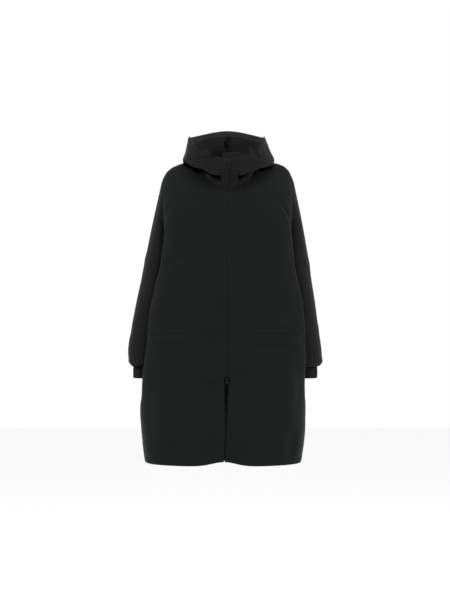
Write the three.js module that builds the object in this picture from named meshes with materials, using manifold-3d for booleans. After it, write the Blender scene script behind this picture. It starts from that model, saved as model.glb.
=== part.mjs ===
// Hooded parka in the shape it has when worn, with no wearer in it.
// Millimetres, +Z up. The front faces -Y and the wearer's left is +X. The origin is the middle of
// the neck opening, level with the shoulders.
import * as THREE from "three";
import Module from "manifold-3d";

const wasm = await Module();
wasm.setup();
const { Manifold, Mesh } = wasm;

// Cloth and seams
const WALL = 3; // shell, light wadding and lining together
const SEAM = 0.3; // gap between two sewn pieces
const LAID = 0.4; // gap under a piece that lies on a panel
const TAPE = 1.2; // zip tape
const ROUNDNESS = 2.5; // 2 is an ellipse, more is squarer

// Heights on the body
const NECK_TOP = 12;
const NECK_FRONT = -95.9;
const SHOULDER_TIP = -52;
const UNDERARM = -265;
const HIP = -545;
const HIP_SAG = 12; // the hip seam is lower at the sides
const HEM = -965;

// Arms, cuffs and closure
const ARMHOLE_HALF_DEPTH = 60;
const CAP_END = -300;
const SLEEVE_END = -656;
const CUFF_END = -692;
const CLOSURE_GAP = 2;
const VENT_TOP = -682;
const TAPE_HALF_WIDTH = 14;

// Body sections, from the neck down. half is the half width, front and back are the depths from
// the side line, lean is the drift of the middle to one side, closure is where the front edges
// meet, and press and reach are how far in, and how far ahead and behind, the arm pushes the side.
const BODY = [
  { z: 12, half: 92, front: 18, back: 52, lean: 1, closure: 5, press: 0, reach: 90 },
  { z: 7, half: 140, front: 27, back: 60, lean: 3, closure: 5, press: 0, reach: 90 },
  { z: 0, half: 165, front: 36, back: 68, lean: 6, closure: 5, press: 0, reach: 90 },
  { z: -10, half: 185, front: 44, back: 77, lean: 4, closure: 5, press: 0, reach: 90 },
  { z: -24, half: 200, front: 56, back: 87, lean: 2, closure: 5, press: 0, reach: 90 },
  { z: -38, half: 207, front: 68, back: 94, lean: 1, closure: 5, press: 0, reach: 90 },
  { z: -52, half: 213, front: 79, back: 100, lean: 1, closure: 5, press: 0, reach: 90 },
  { z: -96, half: 221, front: 110, back: 113, lean: 1, closure: 2, press: 0, reach: 90 },
  { z: -158, half: 227, front: 133, back: 121, lean: 1, closure: -5, press: 12, reach: 90 },
  { z: -221, half: 232, front: 142, back: 122, lean: 1, closure: -6, press: 38, reach: 90 },
  { z: -265, half: 237, front: 146, back: 121, lean: 1, closure: -5, press: 62, reach: 90 },
  { z: -325, half: 243, front: 149, back: 119, lean: 0, closure: -2, press: 71, reach: 90 },
  { z: -385, half: 256, front: 151, back: 119, lean: -1, closure: 0, press: 72, reach: 90 },
  { z: -455, half: 271, front: 153, back: 124, lean: -2, closure: 3, press: 76, reach: 88 },
  { z: -545, half: 279, front: 154, back: 133, lean: -4, closure: 3, press: 75, reach: 86 },
  { z: -634, half: 280, front: 155, back: 140, lean: -8, closure: 0, press: 73, reach: 80 },
  { z: -692, half: 274, front: 155, back: 143, lean: -12, closure: -2, press: 47, reach: 66 },
  { z: -740, half: 270, front: 155, back: 145, lean: -13, closure: -4, press: 7, reach: 56 },
  { z: -800, half: 268, front: 155, back: 146, lean: -14, closure: -5, press: 0, reach: 56 },
  { z: -845, half: 267, front: 155, back: 146, lean: -14, closure: -5, press: 0, reach: 56 },
  { z: -895, half: 263, front: 153, back: 145, lean: -14, closure: -6, press: 0, reach: 56 },
  { z: -946, half: 256, front: 149, back: 142, lean: -14, closure: -12, press: 0, reach: 56 },
  { z: -970, half: 252, front: 147, back: 140, lean: -14, closure: -15, press: 0, reach: 56 },
];

// Front neckline: half width at each height
const NECKLINE = [
  { z: 12, half: 92 },
  { z: -8, half: 88 },
  { z: -27, half: 83 },
  { z: -48, half: 76 },
  { z: -72, half: 53 },
  { z: -84, half: 30 },
  { z: -95.9, half: 0 },
];

// Front edges below the lower zip slider, on the wearer's right and left
const VENT = [
  { z: -682, right: -10.4, left: 6.8 },
  { z: -712, right: -10.4, left: 4.2 },
  { z: -755, right: -10.2, left: 1.3 },
  { z: -805, right: -8.6, left: -1 },
  { z: -840, right: -7.5, left: -2.6 },
  { z: -880, right: -8, left: -4.5 },
  { z: -905, right: -9.5, left: -6 },
  { z: -930, right: -11, left: -8 },
  { z: -970, right: -12.5, left: -9.5 },
];

// Sleeve sections below the underarm. outer and inner are measured from the body's middle.
const SLEEVE = [
  { z: -265, outer: 257, inner: 178, halfDepth: 65, lean: -1 },
  { z: -320, outer: 268, inner: 180, halfDepth: 67, lean: -2 },
  { z: -385, outer: 279, inner: 188, halfDepth: 67, lean: -4 },
  { z: -450, outer: 291, inner: 197, halfDepth: 66, lean: -6 },
  { z: -520, outer: 302, inner: 206, halfDepth: 65, lean: -8 },
  { z: -572, outer: 311, inner: 212, halfDepth: 65, lean: -9 },
  { z: -612, outer: 314.5, inner: 214, halfDepth: 64, lean: -8.5 },
  { z: -634, outer: 313.5, inner: 216, halfDepth: 61, lean: -7 },
  { z: -647, outer: 307.5, inner: 221, halfDepth: 54, lean: -6.5 },
  { z: -656, outer: 299.5, inner: 237, halfDepth: 42.5, lean: -7.5 },
];
const CUFF = { outer: 299, inner: 238, halfDepth: 42, lean: -7.5 };

// Hood sections from the neck seam to the free edge. The hood stands at the chin, rolls outwards
// over the shoulders and hangs behind as a bag, so each section has its own heights at the front,
// side and back. A roll of cloth hangs over the stand on both sides of the zip: drop is the section's
// share of the roll's fall, out and up how far it moves where the stand is tucked in below.
const HOOD = [
  { half: 89, front: 112, back: 53, frontZ: -80, sideZ: 20, backZ: 24, round: 2.2, lean: 1,
    drop: 0, out: 3, up: 0 },
  { half: 103, front: 117, back: 84, frontZ: -64, sideZ: 20, backZ: 18, round: 2.2, lean: 1,
    drop: 0, out: -4, up: 0 },
  { half: 130, front: 122, back: 122, frontZ: -50, sideZ: 19, backZ: -36, round: 2.3, lean: 3,
    drop: 0, out: -12, up: 10 },
  { half: 149, front: 126, back: 148, frontZ: -40, sideZ: 13, backZ: -110, round: 2.5, lean: 4,
    drop: 1, out: 6, up: 0 },
  { half: 149, front: 129, back: 186, frontZ: -28, sideZ: 22, backZ: -122, round: 2.5, lean: 3,
    drop: 0.45, out: 3, up: 0 },
  { half: 141, front: 128, back: 214, frontZ: -12, sideZ: 40, backZ: -62, round: 2.5, lean: 2,
    drop: 0, out: 0, up: 0 },
  { half: 132, front: 124, back: 216, frontZ: 2, sideZ: 65, backZ: 30, round: 2.5, lean: 0,
    drop: 0, out: 0, up: 0 },
  { half: 123, front: 118, back: 190, frontZ: 12, sideZ: 93, backZ: 131, round: 2.7, lean: -3,
    drop: 0, out: 0, up: 0 },
];
const FRONT_FLAT = 0.7; // under 1 keeps the hood's front low further round
const BACK_PEAK = 1.1; // over 1 keeps the top of the hood's back narrow
// How far the roll falls at turns round the hood. It starts beside the zip and its flap.
const ROLL = {
  [-1]: [
    { turn: 0.11, fall: 0 }, { turn: 0.17, fall: 6 }, { turn: 0.26, fall: 6 }, { turn: 0.36, fall: -7 },
    { turn: 0.55, fall: -9 }, { turn: 0.8, fall: -7 }, { turn: 1, fall: 0 },
  ],
  [1]: [
    { turn: 0.125, fall: 0 }, { turn: 0.17, fall: 7 }, { turn: 0.3, fall: 1 }, { turn: 0.48, fall: -6 },
    { turn: 0.75, fall: 0 }, { turn: 1, fall: 0 },
  ],
};

// Rows of the panels. The armhole rows lie at equal turns of its oval.
const SHOULDER_ROWS = [12, 5, -3, -12, -24, -38];
const ARMHOLE_TURNS = 10;
const NECK_ROWS = [-64, -84];
const SIDE_ROWS = [-290, -325, -365, -410, -455, -500, HIP];
const SKIRT_ROWS = [0, 0.11, 0.22, 0.335, 0.34, 0.45, 0.56, 0.67, 0.78, 0.89, 1];
const FRONT_COLUMNS = 11;
const BACK_COLUMNS = 20;

const lerp = THREE.MathUtils.lerp;
const clamp = THREE.MathUtils.clamp;
const radians = THREE.MathUtils.degToRad;
const smooth = THREE.MathUtils.smoothstep;
const vector = (x, y, z) => new THREE.Vector3(x, y, z);

// A smooth curve through one column of a table that runs along another, with no overshoot.
function curveThrough(rows, along, column) {
  const points = rows.map((row) => [row[along], row[column]]).sort((a, b) => a[0] - b[0]);
  const last = points.length - 1;
  const rise = [];
  for (let i = 0; i < last; i++) {
    rise.push((points[i + 1][1] - points[i][1]) / (points[i + 1][0] - points[i][0]));
  }
  const slope = points.map((_, i) => {
    if (i === 0) return rise[0];
    if (i === last) return rise[last - 1];
    if (rise[i - 1] * rise[i] <= 0) return 0;
    return (2 * rise[i - 1] * rise[i]) / (rise[i - 1] + rise[i]);
  });
  return (at) => {
    const x = clamp(at, points[0][0], points[last][0]);
    let i = 0;
    while (i < last - 1 && x > points[i + 1][0]) i++;
    const span = points[i + 1][0] - points[i][0];
    return hermite(points[i][1], slope[i] * span, points[i + 1][1], slope[i + 1] * span,
      (x - points[i][0]) / span);
  };
}

// Cubic between two values with given slopes, for t from 0 to 1.
function hermite(start, startSlope, end, endSlope, t) {
  const a = 2 * t ** 3 - 3 * t ** 2 + 1;
  const b = t ** 3 - 2 * t ** 2 + t;
  const c = t ** 3 - t ** 2;
  return a * start + b * startSlope + (1 - a) * end + c * endSlope;
}

function hermitePoint(start, startSlope, end, endSlope, t) {
  const along = (axis) => hermite(start[axis], startSlope[axis], end[axis], endSlope[axis], t);
  return vector(along("x"), along("y"), along("z"));
}

const body = {};
for (const column of ["half", "front", "back", "lean", "closure", "press", "reach"]) {
  body[column] = curveThrough(BODY, "z", column);
}
const necklineHalf = curveThrough(NECKLINE, "z", "half");
const rollFall = {
  [-1]: curveThrough(ROLL[-1], "turn", "fall"),
  [1]: curveThrough(ROLL[1], "turn", "fall"),
};
const ventEdge = {
  [-1]: curveThrough(VENT, "z", "right"),
  [1]: curveThrough(VENT, "z", "left"),
};
const sleeve = {};
for (const column of ["outer", "inner", "halfDepth", "lean"]) {
  sleeve[column] = curveThrough(SLEEVE, "z", column);
}

// How far along a rounded quarter turn a point lies, from 0 ahead to 1 at the side.
const turnAt = (across, ahead) => Math.atan2(across, ahead) / (Math.PI / 2);
const otherShare = (share, round) => (1 - clamp(share, 0, 1) ** round) ** (1 / round);

// Unit section: turn 0 is straight ahead, 1 the side and 2 straight behind.
function unitSection(turn, round) {
  const angle = (turn * Math.PI) / 2;
  const across = Math.sin(angle);
  const ahead = Math.cos(angle);
  const reach = (Math.abs(across) ** round + Math.abs(ahead) ** round) ** (-1 / round);
  return { across: across * reach, ahead: ahead * reach };
}

// The side pushed in by the arm: 1 beside the arm, 0 beyond its reach.
function armPush(y, z) {
  const share = Math.abs(y) / body.reach(z);
  return share < 1 ? (1 - share ** 4) ** 2 : 0;
}

// Outer face of the body. side is 1 on the wearer's left and -1 on the right.
function bodyPoint(turn, z, side) {
  const { across, ahead } = unitSection(turn, ROUNDNESS);
  const y = ahead > 0 ? -body.front(z) * ahead : -body.back(z) * ahead;
  const reach = body.half(z) * across - body.press(z) * armPush(y, z) * across;
  const lean = body.lean(z);
  const edge = z > VENT_TOP ? body.closure(z) + (side * CLOSURE_GAP) / 2 : ventEdge[side](z);
  const drift = turn < 1 ? (1 - turn) ** 3 * (edge - lean) : 0;
  return vector(side * reach + lean + drift, y, z);
}

function normalOf(surface, u, v, side) {
  const step = 1e-3;
  const along = surface(u + step, v).sub(surface(u - step, v));
  const down = surface(u, v + step).sub(surface(u, v - step));
  return along.cross(down).normalize().multiplyScalar(side);
}

const STEP_TO_MM = 200; // one unit of v in normalOf is this many mm of height
function bodyNormal(turn, z, side) {
  const surface = (u, v) => bodyPoint(u, v * STEP_TO_MM, side);
  return normalOf(surface, turn, z / STEP_TO_MM, side);
}

function bodyTurnAtY(y, z) {
  const depth = y < 0 ? body.front(z) : body.back(z);
  const ahead = Math.abs(y) / depth;
  const turn = turnAt(otherShare(ahead, ROUNDNESS), ahead);
  return y < 0 ? turn : 2 - turn;
}

function bodyTurnAtX(x, z) {
  const across = x / body.half(z);
  return turnAt(across, otherShare(across, ROUNDNESS));
}

// Armhole oval on the body's side. size 1 is the panels' cut edge.
const ARMHOLE_MIDDLE = (SHOULDER_TIP + UNDERARM) / 2;
const ARMHOLE_HALF_HEIGHT = (SHOULDER_TIP - UNDERARM) / 2;
function armholePlace(angle, size) {
  const y = -ARMHOLE_HALF_DEPTH * size * Math.sin(angle);
  const z = ARMHOLE_MIDDLE + ARMHOLE_HALF_HEIGHT * size * Math.cos(angle);
  return { turn: bodyTurnAtY(y, z), z };
}
function armholePoint(angle, size, side) {
  const { turn, z } = armholePlace(angle, size);
  return bodyPoint(turn, z, side);
}

function armholeNormal(angle, side) {
  const { turn, z } = armholePlace(angle, 1);
  return bodyNormal(turn, z, side);
}

// Seam lines as a function of the turn round the body
const hipLine = (turn) => HIP - HIP_SAG * Math.min(turn, 1) ** 2;
function hemLine(turn) {
  const lifted = 14 * Math.exp(-((turn / 0.13) ** 2));
  return HEM + lifted + 5 * Math.min(turn, 1) ** 4;
}

// The panel edge at the side: shoulder seam, armhole and side seam.
function sideEdge(z, back) {
  const inArmhole = z < SHOULDER_TIP && z > UNDERARM;
  const share = clamp((z - ARMHOLE_MIDDLE) / ARMHOLE_HALF_HEIGHT, -1, 1);
  const y = ARMHOLE_HALF_DEPTH * Math.sqrt(1 - share ** 2);
  const step = 0.01;
  const speed = bodyPoint(1, z, 1).distanceTo(bodyPoint(1 - step, z, 1)) / step;
  const seam = SEAM / 2 / speed;
  if (back) return Math.max(inArmhole ? bodyTurnAtY(y, z) : 1, 1 + seam);
  return Math.min(inArmhole ? bodyTurnAtY(-y, z) : 1, 1 - seam);
}

// The panel edge at the middle: the neckline above, the closure below.
function middleEdge(z) {
  return z > NECK_FRONT ? bodyTurnAtX(necklineHalf(z), z) : 0;
}

// A closed wall from a grid of { outer, inner } corners. ring joins the last column to the first.
function wallGeometry(grid, ring) {
  const rows = grid.length;
  const columns = grid[0].length;
  const corners = grid.flat();
  const position = [];
  for (const corner of corners) position.push(corner.outer.x, corner.outer.y, corner.outer.z);
  for (const corner of corners) position.push(corner.inner.x, corner.inner.y, corner.inner.z);
  const out = (r, c) => r * columns + (c % columns);
  const inn = (r, c) => out(r, c) + corners.length;
  const at = (i) => vector(position[3 * i], position[3 * i + 1], position[3 * i + 2]);
  const index = [];
  const triangle = (a, b, c) => {
    const flat = at(a).distanceTo(at(b)) * at(b).distanceTo(at(c)) * at(a).distanceTo(at(c));
    if (flat > 1e-6) index.push(a, b, c);
  };
  const quad = (a, b, c, d) => {
    triangle(a, b, c);
    triangle(a, c, d);
  };
  const lastColumn = ring ? columns : columns - 1;
  for (let r = 0; r < rows - 1; r++) {
    for (let c = 0; c < lastColumn; c++) {
      quad(out(r, c), out(r + 1, c), out(r + 1, c + 1), out(r, c + 1));
      quad(inn(r, c + 1), inn(r + 1, c + 1), inn(r + 1, c), inn(r, c));
    }
  }
  for (let c = 0; c < lastColumn; c++) {
    quad(out(0, c + 1), inn(0, c + 1), inn(0, c), out(0, c));
    quad(out(rows - 1, c), inn(rows - 1, c), inn(rows - 1, c + 1), out(rows - 1, c + 1));
  }
  if (!ring) {
    for (let r = 0; r < rows - 1; r++) {
      quad(out(r, 0), inn(r, 0), inn(r + 1, 0), out(r + 1, 0));
      quad(out(r + 1, lastColumn), inn(r + 1, lastColumn), inn(r, lastColumn), out(r, lastColumn));
    }
  }
  const geometry = new THREE.BufferGeometry();
  geometry.setAttribute("position", new THREE.Float32BufferAttribute(position, 3));
  geometry.setIndex(index);
  return facingOut(geometry);
}

// Turns the faces round if they enclose a negative volume.
function facingOut(geometry) {
  const p = geometry.getAttribute("position");
  const index = Array.from(geometry.getIndex().array);
  let volume = 0;
  const corner = (i) => new THREE.Vector3().fromBufferAttribute(p, i);
  for (let i = 0; i < index.length; i += 3) {
    volume += corner(index[i]).dot(corner(index[i + 1]).cross(corner(index[i + 2])));
  }
  if (volume < 0) geometry.setIndex(index.reverse());
  geometry.computeVertexNormals();
  return geometry;
}

const between = (point, normal, outerAt, innerAt) => ({
  outer: point.clone().addScaledVector(normal, outerAt),
  inner: point.clone().addScaledVector(normal, innerAt),
});
const bodyCorner = (turn, z, side) =>
  between(bodyPoint(turn, z, side), bodyNormal(turn, z, side), 0, -WALL);

const armholeRows = [];
for (let i = 0; i <= ARMHOLE_TURNS; i++) {
  armholeRows.push(ARMHOLE_MIDDLE + ARMHOLE_HALF_HEIGHT * Math.cos((Math.PI * i) / ARMHOLE_TURNS));
}
const UPPER_ROWS = [...SHOULDER_ROWS, ...armholeRows, ...NECK_ROWS, ...SIDE_ROWS]
  .map((z) => (Math.abs(z - NECK_FRONT) < 0.5 ? NECK_FRONT : z))
  .sort((a, b) => b - a);

// Rows above the hip seam bend towards its line, and rows below spread from it to the hem.
const BEND_START = -300;
function upperHeight(row, turn) {
  const share = clamp((row - BEND_START) / (HIP - BEND_START), 0, 1);
  return row + (hipLine(turn) - HIP) * share;
}
function skirtHeight(share, turn, top) {
  return lerp(top, hemLine(turn), share);
}

// Turns of the columns, counted from the middle of the front or back. About half of them keep
// clear of the part that the arm pushes in, and the rest lie close together on it.
const CLEAR_SHARE = 0.55;
const CLEAR_TURN = 0.62;
function columnTurn(middle, edge, share) {
  const split = Math.max(CLEAR_TURN, lerp(middle, edge, CLEAR_SHARE));
  if (share < CLEAR_SHARE) return lerp(middle, split, share / CLEAR_SHARE);
  return lerp(split, edge, (share - CLEAR_SHARE) / (1 - CLEAR_SHARE));
}

function frontUpper(side) {
  const grid = UPPER_ROWS.map((row) => {
    const corners = [];
    for (let c = 0; c <= FRONT_COLUMNS; c++) {
      const turn = columnTurn(middleEdge(row), sideEdge(row, false), c / FRONT_COLUMNS);
      corners.push(bodyCorner(turn, upperHeight(row, turn), side));
    }
    return corners;
  });
  return wallGeometry(grid, false);
}

function frontLower(side) {
  const grid = SKIRT_ROWS.map((row) => {
    const corners = [];
    for (let c = 0; c <= FRONT_COLUMNS; c++) {
      const turn = columnTurn(0, sideEdge(HIP, false), c / FRONT_COLUMNS);
      corners.push(bodyCorner(turn, skirtHeight(row, turn, hipLine(turn) - SEAM), side));
    }
    return corners;
  });
  return wallGeometry(grid, false);
}

// The back is one piece, from side seam to side seam.
function backPanel() {
  const rows = UPPER_ROWS.map((row) => ({ edge: row, height: (turn) => upperHeight(row, turn) }));
  for (const row of SKIRT_ROWS.slice(1)) {
    rows.push({ edge: HIP, height: (turn) => skirtHeight(row, turn, hipLine(turn)) });
  }
  const grid = rows.map(({ edge, height }) => {
    const start = sideEdge(edge, true);
    const corners = [];
    for (let c = 0; c <= BACK_COLUMNS; c++) {
      const share = (2 * c) / BACK_COLUMNS - 1;
      const turn = 2 - columnTurn(0, 2 - start, Math.abs(share));
      corners.push(bodyCorner(turn, height(turn), share < 0 ? -1 : 1));
    }
    return corners;
  });
  return wallGeometry(grid, false);
}

// Sleeve: angle 0 is the outer side, a quarter turn the front, half a turn the inner side.
function sleeveRing(angle, z, side) {
  const middle = (sleeve.outer(z) + sleeve.inner(z)) / 2;
  const half = (sleeve.outer(z) - sleeve.inner(z)) / 2;
  const x = side * (middle + half * Math.cos(angle)) + sleeve.lean(z);
  return vector(x, -sleeve.halfDepth(z) * Math.sin(angle), z);
}

// The cap leaves the armhole along the body's surface and turns down into the sleeve. Under the
// arm it leaves outwards and folds down beside the body.
const CAP_SIZE = 1 - (1.6 * SEAM) / ARMHOLE_HALF_DEPTH;
const FOLD_TURN = radians(62);
function sleevePoint(angle, along, side) {
  if (along >= 1) {
    return besideBody(sleeveRing(angle, lerp(CAP_END, SLEEVE_END, along - 1), side), side);
  }
  const start = armholePoint(angle, CAP_SIZE, side);
  const into = armholePoint(angle, CAP_SIZE - 0.02, side).sub(start).normalize();
  const low = (1 - Math.cos(angle)) / 2;
  into.multiplyScalar(Math.cos(FOLD_TURN * low));
  into.addScaledVector(armholeNormal(angle, side), Math.sin(FOLD_TURN * low));
  const end = sleeveRing(angle, CAP_END, side);
  const down = sleeveRing(angle, CAP_END - 5, side).sub(end).normalize();
  into.multiplyScalar(lerp(70, 40, low));
  down.multiplyScalar(lerp(110, 45, low));
  return besideBody(hermitePoint(start, into, end, down, Math.max(along, 0)), side);
}

// Keeps a point of the sleeve outside the body, except within the armhole.
const ARM_CLEARANCE = 3.5;
const smoothMax = (a, b, width) => (a + b + Math.hypot(a - b, width)) / 2;
function besideBody(point, side) {
  const { y, z } = point;
  const size = Math.hypot(y / ARMHOLE_HALF_DEPTH, (z - ARMHOLE_MIDDLE) / ARMHOLE_HALF_HEIGHT);
  const share = clamp((size - CAP_SIZE) / 0.05, 0, 1);
  if (share < 1e-6) return point;
  const face = side * bodyPoint(bodyTurnAtY(y, z), z, side).x;
  point.x = side * smoothMax(side * point.x, face + ARM_CLEARANCE * share, 3 * share);
  return point;
}

const SLEEVE_STATIONS = [0, 0.05, 0.12, 0.22, 0.36, 0.52, 0.72, 1];
const SLEEVE_ROWS = [-355, -410, -465, -520, -575, -614, -634, -648, SLEEVE_END];
for (const z of SLEEVE_ROWS) {
  SLEEVE_STATIONS.push(1 + (z - CAP_END) / (SLEEVE_END - CAP_END));
}

// Gathers above the cuff: one pleat for each second column, uneven in height.
const GATHER = { height: 2, middle: -634, reach: 18 };
function gatherRelief(column, angle, z) {
  const near = Math.exp(-(((z - GATHER.middle) / GATHER.reach) ** 2)) * smooth(z, SLEEVE_END, -646);
  const uneven = 0.75 + 0.25 * Math.sin(5 * angle + 1);
  return (column % 2 ? -1 : 1) * GATHER.height * uneven * near;
}

function sleeveTube(side) {
  const around = 4 * ARMHOLE_TURNS;
  const surface = (u, v) => sleevePoint(u, v, side);
  const grid = SLEEVE_STATIONS.map((along) => {
    const corners = [];
    for (let c = 0; c < around; c++) {
      const angle = (2 * Math.PI * c) / around;
      const normal = along === 0
        ? armholeNormal(angle, side)
        : normalOf(surface, angle, clamp(along, 0.002, 1.998), side);
      const point = surface(angle, along);
      const relief = along > 1 ? gatherRelief(c, angle, point.z) : 0;
      corners.push(between(point, normal, relief, relief - WALL));
    }
    return corners;
  });
  // The armhole seam is straight between the corners that it shares with the panels.
  const seam = grid[0];
  for (let c = 1; c < around; c += 2) {
    const [a, b] = [seam[c - 1], seam[(c + 1) % around]];
    seam[c] = { outer: a.outer.clone().lerp(b.outer, 0.5), inner: a.inner.clone().lerp(b.inner, 0.5) };
  }
  return wallGeometry(grid, true);
}

function cuffBand(side) {
  const middle = (CUFF.outer + CUFF.inner) / 2;
  const half = (CUFF.outer - CUFF.inner) / 2;
  const around = 2 * ARMHOLE_TURNS;
  const top = SLEEVE_END - SEAM;
  const grid = [0, 0.12, 0.5, 0.9, 1].map((share) => {
    const z = lerp(top, CUFF_END, share);
    const tucked = share === 1 ? 1.2 : 0;
    const corners = [];
    for (let c = 0; c < around; c++) {
      const angle = (2 * Math.PI * c) / around;
      const ring = (inset) => vector(
        side * (middle + (half - inset) * Math.cos(angle)) + CUFF.lean,
        -(CUFF.halfDepth - inset) * Math.sin(angle), z);
      corners.push({ outer: ring(tucked), inner: ring(WALL) });
    }
    return corners;
  });
  return wallGeometry(grid, true);
}

// Neck seam: place 0 is the middle of the front, 1 the shoulder seam, 2 the middle of the back.
function neckPlace(place) {
  if (place >= 1) return { turn: Math.min(place, 2), z: NECK_TOP };
  const z = lerp(NECK_FRONT, NECK_TOP, Math.max(place, 0));
  return { turn: middleEdge(Math.max(z, NECK_FRONT + 1e-3)), z };
}
function neckPoint(place, side) {
  const { turn, z } = neckPlace(place);
  return bodyPoint(turn, z, side);
}

function neckNormal(place, side) {
  const { turn, z } = neckPlace(place);
  return bodyNormal(turn, z, side);
}

// The direction that carries on the body's surface past its neckline.
function neckInto(place, side) {
  const { turn, z } = neckPlace(place);
  const step = 0.01;
  const low = clamp(place - step, 0, 2 - 2 * step);
  const along = neckPoint(low + 2 * step, side).sub(neckPoint(low, side));
  return along.cross(bodyNormal(turn, z, side)).normalize().multiplyScalar(-side);
}

function hoodRing(row, turn, side) {
  const { across, ahead } = unitSection(turn, row.round);
  const near = smooth(turn, ROLL[side][0].turn, ROLL[side][1].turn) * (1 - smooth(turn, 0.35, 0.6));
  const forward = row.front + row.out * near;
  const y = ahead > 0 ? -forward * ahead : -row.back * ahead;
  const share = Math.cos((turn * Math.PI) / 2) ** 2;
  const z = row.up * near - row.drop * rollFall[side](turn) + (turn < 1
    ? lerp(row.sideZ, row.frontZ, share ** FRONT_FLAT)
    : lerp(row.sideZ, row.backZ, share ** BACK_PEAK));
  const middle = lerp(row.lean, turn < 1 ? body.closure(0) : 0, Math.abs(ahead) ** 3);
  return vector(side * row.half * across + middle, y, z);
}

// How far round the hood a place on the neckline leads, from 0 in front to 2 behind.
const NECK_DEPTH = { front: 110, back: 52, half: 92 };
function hoodTurn(place) {
  const neck = neckPoint(place, 1);
  const { turn, z } = neckPlace(place);
  const across = (unitSection(turn, ROUNDNESS).across * body.half(z)) / NECK_DEPTH.half;
  const ahead = Math.abs(neck.y) / (neck.y < 0 ? NECK_DEPTH.front : NECK_DEPTH.back);
  return place < 1 ? turnAt(across, ahead) : 2 - turnAt(across, ahead);
}

function hoodPoint(place, along, side) {
  const neck = neckPoint(place, side);
  const turn = hoodTurn(place);
  const into = neckInto(place, side);
  const points = [neck.clone().addScaledVector(into, SEAM)];
  for (const row of HOOD) points.push(hoodRing(row, turn, side));
  const last = points.length - 1;
  const t = clamp(along, 0, last - 1e-9);
  const i = Math.floor(t);
  const slope = (k) => {
    if (k === 0) return into.clone().multiplyScalar(16);
    if (k === last) return points[last].clone().sub(points[last - 1]);
    return points[k + 1].clone().sub(points[k - 1]).multiplyScalar(0.5);
  };
  return hermitePoint(points[i], slope(i), points[i + 1], slope(i + 1), t - i);
}

const HOOD_STATIONS = [0, 0.35, 0.7, 1, 1.5, 2, 2.6, 3, 3.35, 3.7, 4, 4.5, 5, 5.6, 6.3, 7.1, 7.6, 8];
const neckPlaces = UPPER_ROWS.filter((z) => z >= NECK_FRONT)
  .map((z) => (z - NECK_FRONT) / (NECK_TOP - NECK_FRONT))
  .reverse();
for (let c = BACK_COLUMNS / 2 - 1; c >= 0; c--) {
  neckPlaces.push(2 - columnTurn(0, 1, (2 * c) / BACK_COLUMNS));
}

// The place on the neckline from which the roll starts.
function rollPlace(side) {
  let [low, high] = [0, neckPlaces[1]];
  for (let step = 0; step < 24; step++) {
    const middle = (low + high) / 2;
    if (hoodTurn(middle) < ROLL[side][0].turn) low = middle;
    else high = middle;
  }
  return low;
}

function hoodGrid(side) {
  const surface = (u, v) => hoodPoint(u, v, side);
  const places = [0, rollPlace(side), ...neckPlaces.slice(1)];
  const grid = HOOD_STATIONS.map((along) => places.map((place) => {
    const point = surface(place, along);
    const near = clamp(place, 0.004, 1.996);
    const normal = along === 0
      ? neckNormal(place, side)
      : normalOf(surface, near, clamp(along, 0.01, 7.98), side);
    if (place === 0 || place === 2) normal.setX(0).normalize();
    if (place === 0) point.x = body.closure(point.z) + (side * CLOSURE_GAP) / 2;
    if (place === 2) point.x = (side * SEAM) / 2;
    return between(point, normal, 0, -WALL);
  }));
  // The neck seam is straight where the roll starts, as on the fronts.
  const [a, start, b] = grid[0];
  const share = (start.outer.x - a.outer.x) / (b.outer.x - a.outer.x);
  grid[0][1] = { outer: a.outer.clone().lerp(b.outer, share), inner: a.inner.clone().lerp(b.inner, share) };
  return grid;
}
const hood = { [-1]: hoodGrid(-1), [1]: hoodGrid(1) };

// A point on the front of the hood's wall, or on its back, at x and a station between its rows.
// depth is measured outwards from the outer face.
function onHood(x, station, depth, back) {
  const row = Math.min(Math.floor(station), HOOD_STATIONS.length - 2);
  const side = x < (back ? 0 : hood[1][row][0].outer.x - CLOSURE_GAP / 2) ? -1 : 1;
  const onRow = (index) => {
    const corners = hood[side][index];
    let c = back ? corners.length - 2 : 0;
    const next = back ? -1 : 1;
    while (c + next >= 0 && c + next < corners.length - 1) {
      const far = corners[back ? c : c + 1].outer.x;
      if (side * far >= side * x) break;
      c += next;
    }
    const [a, b] = [corners[c], corners[c + 1]];
    const share = (x - a.outer.x) / (b.outer.x - a.outer.x);
    return {
      outer: a.outer.clone().lerp(b.outer, share),
      inner: a.inner.clone().lerp(b.inner, share),
    };
  };
  const [low, high] = [onRow(row), onRow(row + 1)];
  const outer = low.outer.lerp(high.outer, station - row);
  const inner = low.inner.lerp(high.inner, station - row);
  const normal = outer.clone().sub(inner).normalize();
  return outer.addScaledVector(normal, depth);
}

// Zip tape behind the closed front edges, from the hood's rim to just past the lower slider.
const TAPE_FACE = -(WALL + LAID);
const ZIP_END = -697;
const stationsDown = (top, bottom) => {
  const stations = [top];
  for (let station = Math.ceil(top) - 1; station > bottom; station--) stations.push(station);
  return [...stations, bottom];
};
function zipTape() {
  const grid = stationsDown(16.6, 0).map((station) => {
    const middle = hood[1][Math.floor(station)][0].outer.x - CLOSURE_GAP / 2;
    const face = station < 3 ? TAPE_FACE - 1.5 * LAID : TAPE_FACE;
    return [-1, 0, 1].map((across) => ({
      outer: onHood(middle + across * TAPE_HALF_WIDTH, station, face, false),
      inner: onHood(middle + across * TAPE_HALF_WIDTH, station, face - TAPE, false),
    }));
  });
  const rows = [NECK_FRONT - 6, ...UPPER_ROWS.filter((z) => z < NECK_FRONT), -590, -635, ZIP_END];
  for (const z of rows) {
    grid.push([-1, 0, 1].map((across) => {
      const turn = (Math.abs(across) * TAPE_HALF_WIDTH) / body.half(z) / (Math.PI / 2);
      const point = bodyPoint(turn, z, across || 1);
      point.x = body.closure(z) + across * TAPE_HALF_WIDTH;
      return between(point, bodyNormal(0, z, 1).setX(0).normalize(), TAPE_FACE, TAPE_FACE - TAPE);
    }));
  }
  return wallGeometry(grid, false);
}

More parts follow.
